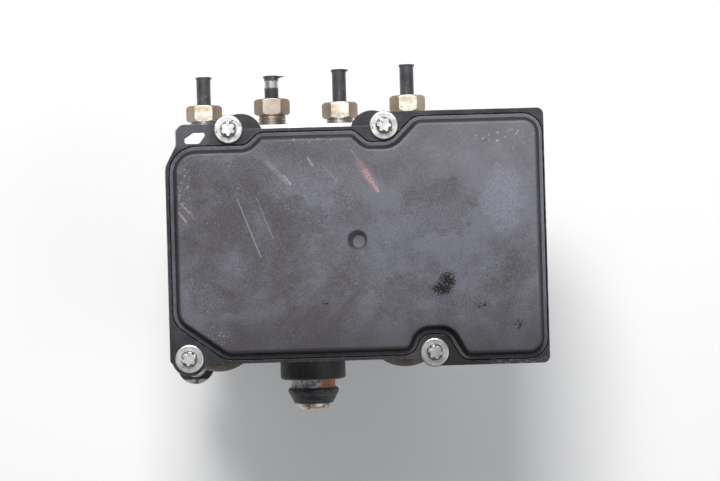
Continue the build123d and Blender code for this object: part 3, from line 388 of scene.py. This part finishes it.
def cover_ground(tree, place, cloud, pores):
    """The cover's dusty colour, with brown and pale areas, dust and a painted light towards the top right,
    and a darker lower edge in painted shade.
    """
    brown, blue_grey = (0.056, 0.049, 0.053), (0.118, 0.120, 0.150)
    pale_pore, dark_pore = (0.22, 0.22, 0.26), (0.027, 0.025, 0.028)
    dust, pale_dust = (0.27, 0.27, 0.31), (0.32, 0.33, 0.42)
    lower_shade_black, deep_brown = (0.036, 0.033, 0.038), (0.050, 0.044, 0.047)
    broad = noise(tree, place, 24.0, detail=4.0, distortion=0.6)
    mottle = arithmetic(tree, "ADD", both(tree, broad, 0.62), both(tree, cloud, 0.38))
    base = mottled(tree, mottle, brown, blue_grey, low=0.38, high=0.62)
    base = paint(tree, base, pale_pore, fade(tree, pores, 0.46, 0.66), strength=0.40)
    base = paint(tree, base, dark_pore, fade(tree, pores, 0.48, 0.34), strength=0.56)
    # Paler towards the top right: dust, and a painted light that is strongest at the top right
    toward_top = ramp(tree, place, Y, -8 * MM, 36 * MM)
    toward_right = ramp(tree, place, X, -30 * MM, 60 * MM)
    base = paint(tree, base, dust, toward_top, toward_right, strength=0.26)
    clouds = ovals(tree, place, pale_areas, cloud)
    base = paint(tree, base, pale_dust, clouds, fade(tree, pores, 0.36, 0.66), strength=0.36)
    areas = ovals(tree, place, brown_areas, cloud)
    base = paint(tree, base, deep_brown, areas, fade(tree, pores, 0.66, 0.36), strength=0.62)
    # Darker towards the bottom: painted shade
    toward_bottom = ramp(tree, place, Y, -16 * MM, -38 * MM)
    return paint(tree, base, lower_shade_black, toward_bottom, strength=0.66)


def cover_grit(tree, place, base, cloud, top):
    """Pale specks where grit has rubbed the cover, thick near the corners."""
    grit_grey, corner_grey = (0.36, 0.35, 0.35), (0.50, 0.48, 0.46)
    specks = fade(tree, noise(tree, place, 1500.0, detail=2.0, roughness=0.5), 0.68, 0.75)
    patches = fade(tree, noise(tree, place, 50.0, detail=3.0), 0.48, 0.62)
    where = either(tree, patches, strokes(tree, place, speck_trail, cloud))
    base = paint(tree, base, grit_grey, where, specks, strength=0.60)
    corners = ovals(tree, place, gritty_corners, cloud)
    grit = fade(tree, noise(tree, place, 900.0, detail=6.0, roughness=0.75), 0.58, 0.65)
    return paint(tree, base, corner_grey, corners, grit, top, strength=0.75)


def cover_strokes(tree, place, base, grain, top):
    """Pink smears and pale scratches on the cover's top."""
    pink, faded_pink, scratch_grey = (0.52, 0.28, 0.29), (0.50, 0.37, 0.36), (0.40, 0.42, 0.47)
    flecks = fade(tree, grain, 0.40, 0.56)
    smears = strokes(tree, place, pink_smears, grain)
    base = paint(tree, base, pink, smears, flecks, top, strength=0.88)
    faded = strokes(tree, place, faded_smears, grain)
    base = paint(tree, base, faded_pink, faded, flecks, top, strength=0.85)
    return paint(tree, base, scratch_grey, strokes(tree, place, scratches, grain), top)


def cover_stains(tree, place, grain, cloud, top):
    """Where oil has stained the cover, broken up by the grain, with fine specks round it."""
    broken = noise(tree, place, 1500.0, detail=4.0, roughness=0.7)
    dense = both(tree, ovals(tree, place, dense_stains, grain), fade(tree, broken, 0.66, 0.54))
    thin = both(tree, ovals(tree, place, thin_stains, grain), fade(tree, broken, 0.53, 0.46))
    specked = both(tree, ovals(tree, place, speck_fields, cloud), fade(tree, broken, 0.42, 0.36), 0.75)
    return both(tree, either(tree, dense, thin, specked), top)


def cover_scuffs_and_highlights(tree, place, base):
    """White scuffs and a painted edge highlight on the bead and the top edge, strongest at the left corners.
    """
    scuff_and_highlight_white = (0.62, 0.60, 0.60)
    worn = fade(tree, noise(tree, place, 700.0, detail=5.0, roughness=0.7), 0.45, 0.62)
    left = ramp(tree, place, X, -30 * MM, -44 * MM)
    upper = ramp(tree, place, Y, 20 * MM, 33 * MM)
    lower = ramp(tree, place, Y, -22 * MM, -34 * MM)
    corner = both(tree, left, either(tree, upper, lower))
    # A painted highlight on all edges, and white scuffs, more at the left corners
    amount = arithmetic(tree, "ADD", 0.22, both(tree, corner, 0.70), clamp=True)
    return paint(tree, base, scuff_and_highlight_white, edge_share(tree, 0.5 * MM), worn, amount)


def make_cover_plastic():
    """The cover's matte black plastic, dusty, scratched and scuffed to the photographed marks."""
    oil_black, dimple_shade_black = (0.004, 0.004, 0.005), (0.018, 0.017, 0.018)
    clean_and_shaded_black, shade_and_dirt_black = (0.009, 0.0085, 0.009), (0.016, 0.015, 0.016)
    finish = Finish("cover_plastic", 0.0, Specular_IOR_Level=0.3)
    tree = finish.tree
    place = finish.place
    cloud = noise(tree, place, 110.0, detail=6.0, roughness=0.7, distortion=0.3)
    fine = noise(tree, place, 2300.0, detail=2.0)
    grain = noise(tree, place, 1900.0, detail=6.0, roughness=0.75)
    pores = noise(tree, place, 3000.0, detail=4.0, roughness=0.85)
    top = ramp(tree, place, Z, cover_top - 1.6 * MM, cover_top - 1.3 * MM)
    side = fade(tree, facing(tree, Z), 0.90, 0.55)

    base = cover_ground(tree, place, cloud, pores)
    base = cover_grit(tree, place, base, cloud, top)
    base = cover_strokes(tree, place, base, grain, top)
    stains = cover_stains(tree, place, grain, cloud, top)
    base = paint(tree, base, oil_black, stains)
    # Painted shade in the dimple: a dark ring round a middle that is left unshaded
    rim = ovals(tree, place, dimple_shade_ring, grain)
    rubbed = ovals(tree, place, dimple_unshaded_middle, grain)
    base = paint(tree, base, dimple_shade_black, rim, outside(tree, rubbed), strength=0.88)
    # Sides almost black: clean plastic, and painted shade
    base = paint(tree, base, clean_and_shaded_black, side, strength=0.93)
    base = cover_scuffs_and_highlights(tree, place, base)
    # Dirt and painted shade in the crevices
    finish.colour(paint(tree, base, shade_and_dirt_black, crevice_share(tree, 1.6 * MM), strength=0.8))

    dull = both(tree, cloud, outside(tree, side))
    finish.roughness(0.30, 0.74, either(tree, dull, stains))
    height = arithmetic(tree, "ADD", both(tree, fine, 0.6), both(tree, pores, 0.9))
    finish.surface(height, 0.055 * MM, soft_edge=0.35 * MM)
    return finish.material


def make_housing_plastic():
    """The housing's black plastic: smoother, with pale dust, a painted sheen on the upper left ear, dirt and
    painted shade in its corners, and rubbed edges with a painted edge highlight.
    """
    shade, colour = (0.018, 0.018, 0.021), (0.036, 0.036, 0.043)
    dust_grey, ear_grey = (0.10, 0.10, 0.12), (0.105, 0.105, 0.13)
    worn_and_highlight_white, frayed_grey = (0.55, 0.54, 0.54), (0.40, 0.39, 0.39)
    grime_black, grease_black = (0.020, 0.019, 0.019), (0.008, 0.008, 0.008)
    shade_and_dirt_black = (0.012, 0.011, 0.011)
    finish = Finish("housing_plastic", 0.0, Specular_IOR_Level=0.45)
    tree = finish.tree
    place = finish.place
    broad = noise(tree, place, 60.0, detail=5.0)
    fine = noise(tree, place, 2200.0, detail=2.0)
    base = mottled(tree, broad, shade, colour)
    up = fade(tree, facing(tree, Z), 0.4, 0.9)
    dust = fade(tree, noise(tree, place, 240.0, detail=7.0, roughness=0.7), 0.35, 0.75)
    base = paint(tree, base, dust_grey, up, dust, strength=0.22)

    # Paler on the top of the upper left ear: a painted sheen
    ear_top = ramp(tree, place, Y, 31 * MM, 34 * MM)
    ear_left = ramp(tree, place, X, -31 * MM, -34 * MM)
    base = paint(tree, base, ear_grey, ear_top, ear_left, up, strength=0.5)

    # Rubbed edges with a painted edge highlight, and a frayed one at the lower right
    worn = fade(tree, noise(tree, place, 620.0, detail=6.0, roughness=0.72), 0.50, 0.62)
    base = paint(tree, base, worn_and_highlight_white, edge_share(tree, 0.45 * MM), worn, strength=0.55)
    right = ramp(tree, place, X, 56 * MM, 66 * MM)
    lowest = ramp(tree, place, Y, -40 * MM, -42 * MM)
    frayed = fade(tree, noise(tree, place, 900.0, detail=4.0, roughness=0.7), 0.52, 0.58)
    base = paint(tree, base, frayed_grey, right, lowest, up, frayed, strength=0.25)

    grime = fade(tree, noise(tree, place, 320.0, detail=6.0, roughness=0.7), 0.58, 0.72)
    base = paint(tree, base, grime_black, grime, strength=0.55)
    base = paint(tree, base, grease_black, ovals(tree, place, housing_grease, broad), up, strength=0.85)
    # Dirt and painted shade in the corners
    finish.colour(paint(tree, base, shade_and_dirt_black, crevice_share(tree, 2.0 * MM), strength=0.8))
    finish.roughness(0.26, 0.42, broad)
    finish.surface(fine, 0.015 * MM, soft_edge=0.3 * MM)
    return finish.material


def make_block_aluminium():
    """Milled aluminium with fine cutter lines, a little oxide and dirt."""
    shade, colour, grime_brown = (0.78, 0.78, 0.77), (0.90, 0.90, 0.90), (0.20, 0.17, 0.15)
    finish = Finish("block_aluminium", 1.0)
    tree = finish.tree
    place = finish.place
    broad = noise(tree, place, 70.0, detail=5.0)
    lines = noise(tree, stretched(tree, place, 1.0, 0.06, 1.0), 2600.0, detail=2.0)
    grime = fade(tree, noise(tree, place, 300.0, detail=8.0, roughness=0.72), 0.60, 0.72)
    finish.colour(paint(tree, mottled(tree, broad, shade, colour), grime_brown, grime, strength=0.6))
    finish.roughness(0.34, 0.55, broad)
    finish.surface(lines, 0.006 * MM, soft_edge=0.3 * MM)
    return finish.material


def make_nut_zinc():
    """Yellow zinc plating, tarnished and worn to grey, duller on the second nut and at the stems, with
    painted shade on the side facets and in the crevices.
    """
    shade, colour, worn_grey = (0.60, 0.50, 0.36), (0.82, 0.78, 0.70), (0.90, 0.89, 0.86)
    dull_brown, rust_brown, tarnish_and_shade_brown = (0.40, 0.32, 0.285), (0.20, 0.11, 0.06), (0.27, 0.195, 0.13)
    stem_grey, shade_and_dirt_black = (0.34, 0.32, 0.30), (0.035, 0.030, 0.026)
    finish = Finish("nut_yellow_zinc", 1.0)
    tree = finish.tree
    place = finish.place
    broad = noise(tree, place, 170.0, detail=6.0, roughness=0.65)
    fine = noise(tree, place, 1500.0, detail=3.0)
    base = mottled(tree, broad, shade, colour, low=0.36, high=0.62)
    worn = fade(tree, noise(tree, place, 420.0, detail=6.0, roughness=0.7), 0.52, 0.66)
    base = paint(tree, base, worn_grey, worn, strength=0.6)
    second_nut = beside(tree, place, pipe_middles[1], full=8 * MM, none=10 * MM)
    base = paint(tree, base, dull_brown, second_nut, strength=0.75)
    rust = fade(tree, noise(tree, place, 520.0, detail=8.0, roughness=0.75), 0.60, 0.68)
    base = paint(tree, base, rust_brown, rust, strength=0.75)
    # Side facets darker than the top one: tarnish and painted shade
    leaning = fade(tree, facing(tree, Z), 0.90, 0.70)
    base = paint(tree, base, tarnish_and_shade_brown, leaning, strength=0.78)
    stem = ramp(tree, place, Y, nut_foot_y + 17.2 * MM, nut_foot_y + 14.4 * MM)
    base = paint(tree, base, stem_grey, stem, fade(tree, fine, 0.30, 0.6), strength=0.70)
    # Dirt and painted shade in the crevices
    crevice = crevice_share(tree, 0.8 * MM, low=0.35, high=0.85)
    finish.colour(paint(tree, base, shade_and_dirt_black, crevice, strength=0.9))
    finish.roughness(0.26, 0.50, broad)
    finish.surface(fine, 0.01 * MM, soft_edge=0.3 * MM)
    return finish.material


def make_pipe_coating():
    """Black coated tube, rubbed grey here and there, with a bare band on the second pipe."""
    shade, colour = (0.030, 0.030, 0.034), (0.070, 0.070, 0.078)
    worn_grey, bare_steel = (0.30, 0.28, 0.27), (0.66, 0.65, 0.63)
    finish = Finish("pipe_coating", 0.0, Specular_IOR_Level=0.6)
    tree = finish.tree
    place = finish.place
    broad = noise(tree, place, 200.0, detail=5.0)
    fine = noise(tree, place, 1800.0, detail=3.0)
    rubbed = noise(tree, stretched(tree, place, 1.0, 0.4, 1.0), 520.0, detail=6.0, roughness=0.7)
    base = mottled(tree, broad, shade, colour)
    base = paint(tree, base, worn_grey, fade(tree, rubbed, 0.60, 0.70), strength=0.5)
    second_pipe = beside(tree, place, pipe_middles[1], full=3.5 * MM, none=4.5 * MM)
    height = arithmetic(tree, "ADD", axis_value(tree, place, Y), wander(tree, fine, 1.5 * MM))
    tip = pipe_tips[1]
    bare = both(tree, second_pipe, band(tree, height, tip - 4.6 * MM, tip - 1.6 * MM, edge=0.6 * MM))
    finish.colour(paint(tree, base, bare_steel, bare))
    finish.metallic(bare)
    finish.roughness(0.24, 0.40, broad)
    finish.surface(fine, 0.012 * MM, soft_edge=0.25 * MM)
    return finish.material


def make_mount_rubber():
    """Black rubber with a scraped cone, pale grey and rust in the groove that the carrier sat in, and dirt
    and painted shade in its crevices.
    """
    shade, colour, scraped_grey = (0.014, 0.014, 0.014), (0.030, 0.030, 0.031), (0.10, 0.10, 0.105)
    groove_pale_grey, rust_orange, rust_dark = (0.68, 0.68, 0.72), (0.46, 0.145, 0.012), (0.050, 0.026, 0.014)
    shade_and_dirt_black = (0.010, 0.009, 0.009)
    finish = Finish("mount_rubber", 0.0, Specular_IOR_Level=0.4)
    tree = finish.tree
    place = finish.place
    broad = noise(tree, place, 160.0, detail=5.0)
    fine = noise(tree, place, 1400.0, detail=4.0)
    base = mottled(tree, broad, shade, colour)
    y = axis_value(tree, place, Y)
    groove = band(tree, y, bush_tip_y + 5.2 * MM, bush_tip_y + 8.8 * MM, edge=0.6 * MM)
    cone = fade(tree, y, bush_tip_y + 6.0 * MM, bush_tip_y + 5.0 * MM)
    scrapes = noise(tree, stretched(tree, place, 0.2, 1.0, 1.0), 900.0, detail=5.0, roughness=0.7)
    base = paint(tree, base, scraped_grey, cone, fade(tree, scrapes, 0.42, 0.66), strength=0.8)
    # Pale grey over the groove
    powder = noise(tree, place, 380.0, detail=6.0, roughness=0.7)
    base = paint(tree, base, groove_pale_grey, groove, fade(tree, powder, 0.32, 0.62), strength=0.88)
    across = arithmetic(tree, "ADD", axis_value(tree, place, X), wander(tree, powder, 9 * MM))
    rusty = both(tree, groove, fade(tree, across, 1.5 * MM, 4.5 * MM))
    base = paint(tree, base, rust_orange, rusty, strength=0.9)
    base = paint(tree, base, rust_dark, rusty, fade(tree, fine, 0.55, 0.40), strength=0.7)
    # Dirt and painted shade in the crevices
    finish.colour(paint(tree, base, shade_and_dirt_black, crevice_share(tree, 1.5 * MM), strength=0.6))
    finish.roughness(0.42, 0.62, broad)
    finish.surface(fine, 0.03 * MM, soft_edge=0.3 * MM)
    return finish.material


def make_screw_zinc():
    """Bright zinc with dark chips, dirt and painted shade in the drive, and grease on the lower right screw,
    with painted shade round its drive.
    """
    shade, colour = (0.60, 0.59, 0.58), (0.86, 0.85, 0.83)
    chip_black, shade_and_dirt_black, greased_grey = (0.035, 0.033, 0.032), (0.030, 0.028, 0.027), (0.30, 0.29, 0.29)
    finish = Finish("screw_zinc", 1.0)
    tree = finish.tree
    place = finish.place
    broad = noise(tree, place, 260.0, detail=5.0)
    fine = noise(tree, place, 2400.0, detail=2.0)
    base = mottled(tree, broad, shade, colour)
    chips = fade(tree, noise(tree, place, 620.0, detail=6.0, roughness=0.72), 0.585, 0.63)
    upper = ramp(tree, place, Y, 30 * MM, 36 * MM)
    amount = arithmetic(tree, "ADD", 0.35, both(tree, upper, 0.6), clamp=True)
    base = paint(tree, base, chip_black, chips, amount)
    # Dirt and painted shade in the drive and round the head
    crevice = crevice_share(tree, 1.5 * MM, low=0.26, high=0.66)
    base = paint(tree, base, shade_and_dirt_black, crevice, strength=0.90)
    right = ramp(tree, place, X, 20 * MM, 30 * MM)
    lower = ramp(tree, place, Y, -20 * MM, -30 * MM)
    greased = both(tree, right, lower)
    base = paint(tree, base, greased_grey, greased, strength=0.35)
    # Dirt and painted shade over a wider reach on the lower right screw
    wide_crevice = crevice_share(tree, 1.8 * MM, low=0.10, high=0.50)
    finish.colour(paint(tree, base, shade_and_dirt_black, greased, wide_crevice, strength=0.8))
    finish.roughness(0.24, 0.46, broad)
    finish.surface(fine, 0.008 * MM, soft_edge=0.2 * MM)
    return finish.material


plain_metals = {
    "motor_zinc": dict(
        colour=(0.70, 0.71, 0.72), shade=(0.52, 0.53, 0.54), rough=(0.30, 0.48), grain=700.0,
        stretch=(1.0, 1.0, 0.08), soft_edge=0.4 * MM, stain=(0.22, 0.16, 0.11), stain_amount=(0.62, 0.72),
    ),
    "bearing_steel": dict(
        colour=(0.72, 0.72, 0.73), shade=(0.58, 0.58, 0.59), rough=(0.14, 0.26), grain=2000.0,
        soft_edge=0.2 * MM,
    ),
    "spring_steel": dict(colour=(0.50, 0.50, 0.51), shade=(0.36, 0.36, 0.37), rough=(0.24, 0.38)),
    # Accumulator caps: dark brown steel, darkened further as a painted shade, with stains
    "cap_steel": dict(
        colour=(0.085, 0.060, 0.045), shade=(0.045, 0.032, 0.026), rough=(0.36, 0.58), grain=1200.0,
        soft_edge=0.3 * MM, stain=(0.085, 0.042, 0.024), stain_amount=(0.52, 0.66),
    ),
    "valve_steel": dict(
        colour=(0.70, 0.70, 0.71), shade=(0.56, 0.56, 0.57), rough=(0.20, 0.34), grain=1600.0,
        stretch=(0.1, 0.1, 1.0), soft_edge=0.2 * MM,
    ),
    "yoke_steel": dict(colour=(0.46, 0.46, 0.47), shade=(0.32, 0.32, 0.33), rough=(0.36, 0.52)),
    "stud_steel": dict(
        colour=(0.74, 0.70, 0.66), shade=(0.50, 0.44, 0.38), rough=(0.30, 0.60), grain=1200.0,
        depth=0.02 * MM, soft_edge=0.3 * MM, stain=(0.24, 0.075, 0.030), stain_amount=(0.50, 0.60),
    ),
    "piston_aluminium": dict(
        colour=(0.80, 0.80, 0.81), shade=(0.68, 0.68, 0.69), rough=(0.22, 0.38), stretch=(1.0, 0.1, 1.0),
    ),
    "coil_copper": dict(
        colour=(0.70, 0.30, 0.15), shade=(0.46, 0.17, 0.08), rough=(0.22, 0.36), grain=2600.0,
        depth=0.05 * MM, stretch=(0.05, 0.05, 1.0),
    ),
    "contact_copper": dict(colour=(0.80, 0.58, 0.34), shade=(0.66, 0.44, 0.24), rough=(0.20, 0.34)),
}

plain_mouldings = {
    "seal_rubber": dict(colour=(0.035, 0.035, 0.036), shade=(0.020, 0.020, 0.020), rough=(0.5, 0.7)),
    "bracket_steel": dict(
        colour=(0.060, 0.060, 0.063), shade=(0.034, 0.034, 0.036), rough=(0.30, 0.46), grain=700.0,
        soft_edge=0.3 * MM,
    ),
    "ferrite": dict(
        colour=(0.085, 0.085, 0.088), shade=(0.055, 0.055, 0.057), rough=(0.55, 0.75), grain=1100.0,
    ),
    "carbon": dict(colour=(0.060, 0.060, 0.060), shade=(0.035, 0.035, 0.035), rough=(0.45, 0.65)),
    "inner_plastic": dict(colour=(0.15, 0.135, 0.12), shade=(0.10, 0.09, 0.08), rough=(0.40, 0.55)),
    "board_green": dict(
        colour=(0.030, 0.170, 0.075), shade=(0.020, 0.115, 0.050), rough=(0.16, 0.28), grain=500.0,
        depth=0.01 * MM,
    ),
    "chip_black": dict(colour=(0.040, 0.040, 0.042), shade=(0.022, 0.022, 0.024), rough=(0.38, 0.55)),
}

finishes = {
    "block_aluminium": make_block_aluminium(),
    "housing_plastic": make_housing_plastic(),
    "cover_plastic": make_cover_plastic(),
    "mount_rubber": make_mount_rubber(),
    "screw_zinc": make_screw_zinc(),
    "nut_yellow_zinc": make_nut_zinc(),
    "pipe_coating": make_pipe_coating(),
}
for slot_name, looks in plain_metals.items():
    finishes[slot_name] = make_metal(slot_name, **looks)
for slot_name, looks in plain_mouldings.items():
    finishes[slot_name] = make_moulding(slot_name, **looks)

for part in frame["record"]["subparts"]:
    mesh = frame["nodes"][part["node"]].data
    mesh.materials.clear()
    mesh.materials.append(finishes[part["material_slot"]])


# Small pieces that stand on the part


def new_object(name, data):
    """A new object, linked into the scene."""
    made = bpy.data.objects.new(name, data)
    bpy.context.scene.collection.objects.link(made)
    return made


def new_mesh(name, vertices, faces):
    """A new object with a mesh of its own."""
    mesh = bpy.data.meshes.new(name)
    mesh.from_pydata(vertices, [], faces)
    return new_object(name, mesh)


def place_piece(made, slot_name, body):
    """Gives a new piece its finish and the body that it rides on."""
    made.data.materials.append(finishes[slot_name])
    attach(made, body)


# Threads under the hexagons of the brake nuts
thread_root = 4.57 * MM
thread_height = 0.42 * MM
thread_pitch = 1.0 * MM
thread_foot = 0.42
thread_sunk = 0.02 * MM
thread_steps = 28
thread_below_face = 0.6 * MM
thread_below_hexagon = 0.3 * MM
nut_stems = (2.6 * MM, 4.4 * MM, 2.6 * MM, 4.4 * MM)


def helix_ridge(name, centre_x, start, end):
    """A thread's ridge round a Y axis: a three-sided bead that winds up a stem."""
    vertices = []
    faces = []
    turns = (end - start) / thread_pitch
    count = int(turns * thread_steps)
    for index in range(count + 1):
        angle = 2 * math.pi * index / thread_steps
        y = start + thread_pitch * index / thread_steps
        taper = min(1.0, index / thread_steps, (count - index) / thread_steps)
        corners = ((-thread_sunk, -thread_foot), (thread_height * taper, 0.0), (-thread_sunk, thread_foot))
        for out, shift in corners:
            radius = thread_root + out
            vertices.append((
                centre_x + radius * math.cos(angle), y + shift * thread_pitch,
                port_z + radius * math.sin(angle),
            ))
    for index in range(count):
        here, there = 3 * index, 3 * index + 3
        for side in range(3):
            after = (side + 1) % 3
            faces.append((here + side, here + after, there + after, there + side))
    faces.append((0, 2, 1))
    faces.append((3 * count, 3 * count + 1, 3 * count + 2))
    made = new_mesh(name, vertices, faces)
    made.data.validate()
    return made


for number, (middle, stem) in enumerate(zip(pipe_middles, nut_stems), start=1):
    ridge = helix_ridge(
        f"nut_thread_{number}", middle, block_face_y - thread_below_face,
        block_face_y + stem - thread_below_hexagon,
    )
    place_piece(ridge, "nut_yellow_zinc", "unit")


# Lips that the cutter left at the pipes' ends
pipe_outer = 2.5 * MM
pipe_inner = 1.6 * MM
lip_length = 0.9 * MM
lip_flare = 0.28 * MM
lip_rim_drop = 0.12 * MM
lip_bore_drop = 0.02 * MM
lip_steps = 40
lip_unevenness = 0.02
deepest_nick = 0.10
burr_sharpness = 8
flattened = (0.02, 0.08, 0.05, 0.02)
drawn_in = 0.4
burrs = (0.10, 0.62, 0.22, 0.04)


def pipe_lip(name, middle, tip, flatten, burr):
    """The lip at a pipe's cut end, with a burr that stands out at its right."""
    profile = (
        (pipe_outer, tip - lip_length),
        (pipe_outer + lip_flare, tip - lip_rim_drop),
        (pipe_inner, tip - lip_bore_drop),
    )
    vertices = []
    for radius, y in profile:
        for index in range(lip_steps):
            angle = 2 * math.pi * index / lip_steps
            rough = 1 + random.uniform(-lip_unevenness, lip_unevenness)
            if radius > pipe_outer:
                rough += burr * max(0.0, math.cos(angle)) ** burr_sharpness
            vertices.append((
                middle + radius * rough * math.cos(angle) * (1 + flatten),
                y - random.uniform(0.0, deepest_nick) * MM,
                port_z + radius * rough * math.sin(angle) * (1 - flatten * drawn_in),
            ))
    faces = []
    for ring in range(len(profile) - 1):
        for index in range(lip_steps):
            after = (index + 1) % lip_steps
            faces.append((
                ring * lip_steps + index, ring * lip_steps + after,
                (ring + 1) * lip_steps + after, (ring + 1) * lip_steps + index,
            ))
    return new_mesh(name, vertices, faces)


cut_ends = zip(pipe_middles, pipe_tips, flattened, burrs)
for number, (middle, tip, flatten, burr) in enumerate(cut_ends, start=1):
    place_piece(pipe_lip(f"pipe_lip_{number}", middle, tip, flatten, burr), "pipe_coating", "unit")


# Springs that the joints deform, each a copy of the part's own spring


def spring_that_shortens(node, axis):
    """A spring of the part's own form, copied in place of the part's spring; its far end rests against the
    plug or cap.
    """
    made = new_object(node + "_coil", frame["nodes"][node].data.copy())
    low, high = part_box(node)
    index = [abs(part) for part in axis].index(1)
    anchor = (low + high) / 2
    anchor[index] = low[index] if axis[index] < 0 else high[index]
    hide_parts(node)
    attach(made, "unit")
    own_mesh(made)


for joint in frame["record"]["behaviour"]["joints"]:
    for moved in joint.get("deforming_nodes", []):
        spring_that_shortens(moved["node"], tuple(joint["axis"]))


# Floor, light and camera

floor_half = 3.0
floor_shade, floor_colour = (0.80, 0.80, 0.80), (0.84, 0.84, 0.84)
sky_colour = (0.90, 0.92, 0.95, 1.0)
sky_strength = 0.32
camera_lens = 111.3
camera_place = (0.00196, -0.00647, 0.85659)
camera_degrees = (0.515, -1.143, -1.605)


def make_floor():
    """A plain pale studio floor."""
    finish = Finish("floor_pale", 0.0)
    tree = finish.tree
    broad = noise(tree, finish.place, 3.0, detail=3.0)
    finish.colour(blend_colour(tree, broad, floor_shade, floor_colour))
    finish.roughness(0.75, 0.85, broad)
    corners = [(x * floor_half, y * floor_half, 0) for x, y in ((-1, -1), (1, -1), (1, 1), (-1, 1))]
    made = new_mesh("floor", corners, [(0, 1, 2, 3)])
    made.data.materials.append(finish.material)


def area_light(name, place, target, size, power, colour=(1.0, 1.0, 1.0)):
    """A square soft light that looks at a place."""
    data = bpy.data.lights.new(name, "AREA")
    data.size = size
    data.energy = power
    data.color = colour
    made = new_object(name, data)
    made.location = place
    made.rotation_euler = (Vector(target) - Vector(place)).to_track_quat("-Z", "Y").to_euler()


make_floor()
area_light("key", (-0.10, 0.62, 1.00), (0.0, 0.0, 0.05), size=0.45, power=13.0, colour=(1.0, 0.99, 0.98))
area_light("fill", (0.75, -0.30, 0.95), (0.0, 0.0, 0.05), size=0.8, power=3.0, colour=(0.96, 0.98, 1.0))
area_light("rim", (-0.2, 1.1, 0.30), (0.0, 0.0, 0.07), size=0.6, power=4.0)

world = bpy.data.worlds.new("studio")
world.use_nodes = True
sky = world.node_tree.nodes["Background"]
sky.inputs["Color"].default_value = sky_colour
sky.inputs["Strength"].default_value = sky_strength
bpy.context.scene.world = world

camera_data = bpy.data.cameras.new("camera")
camera_data.lens = camera_lens
camera_data.clip_start = 0.01
camera_data.clip_end = 20.0
camera = new_object("camera", camera_data)
camera.location = camera_place
camera.rotation_euler = [math.radians(turn) for turn in camera_degrees]
bpy.context.scene.camera = camera
bpy.context.scene.view_settings.view_transform = "Standard"
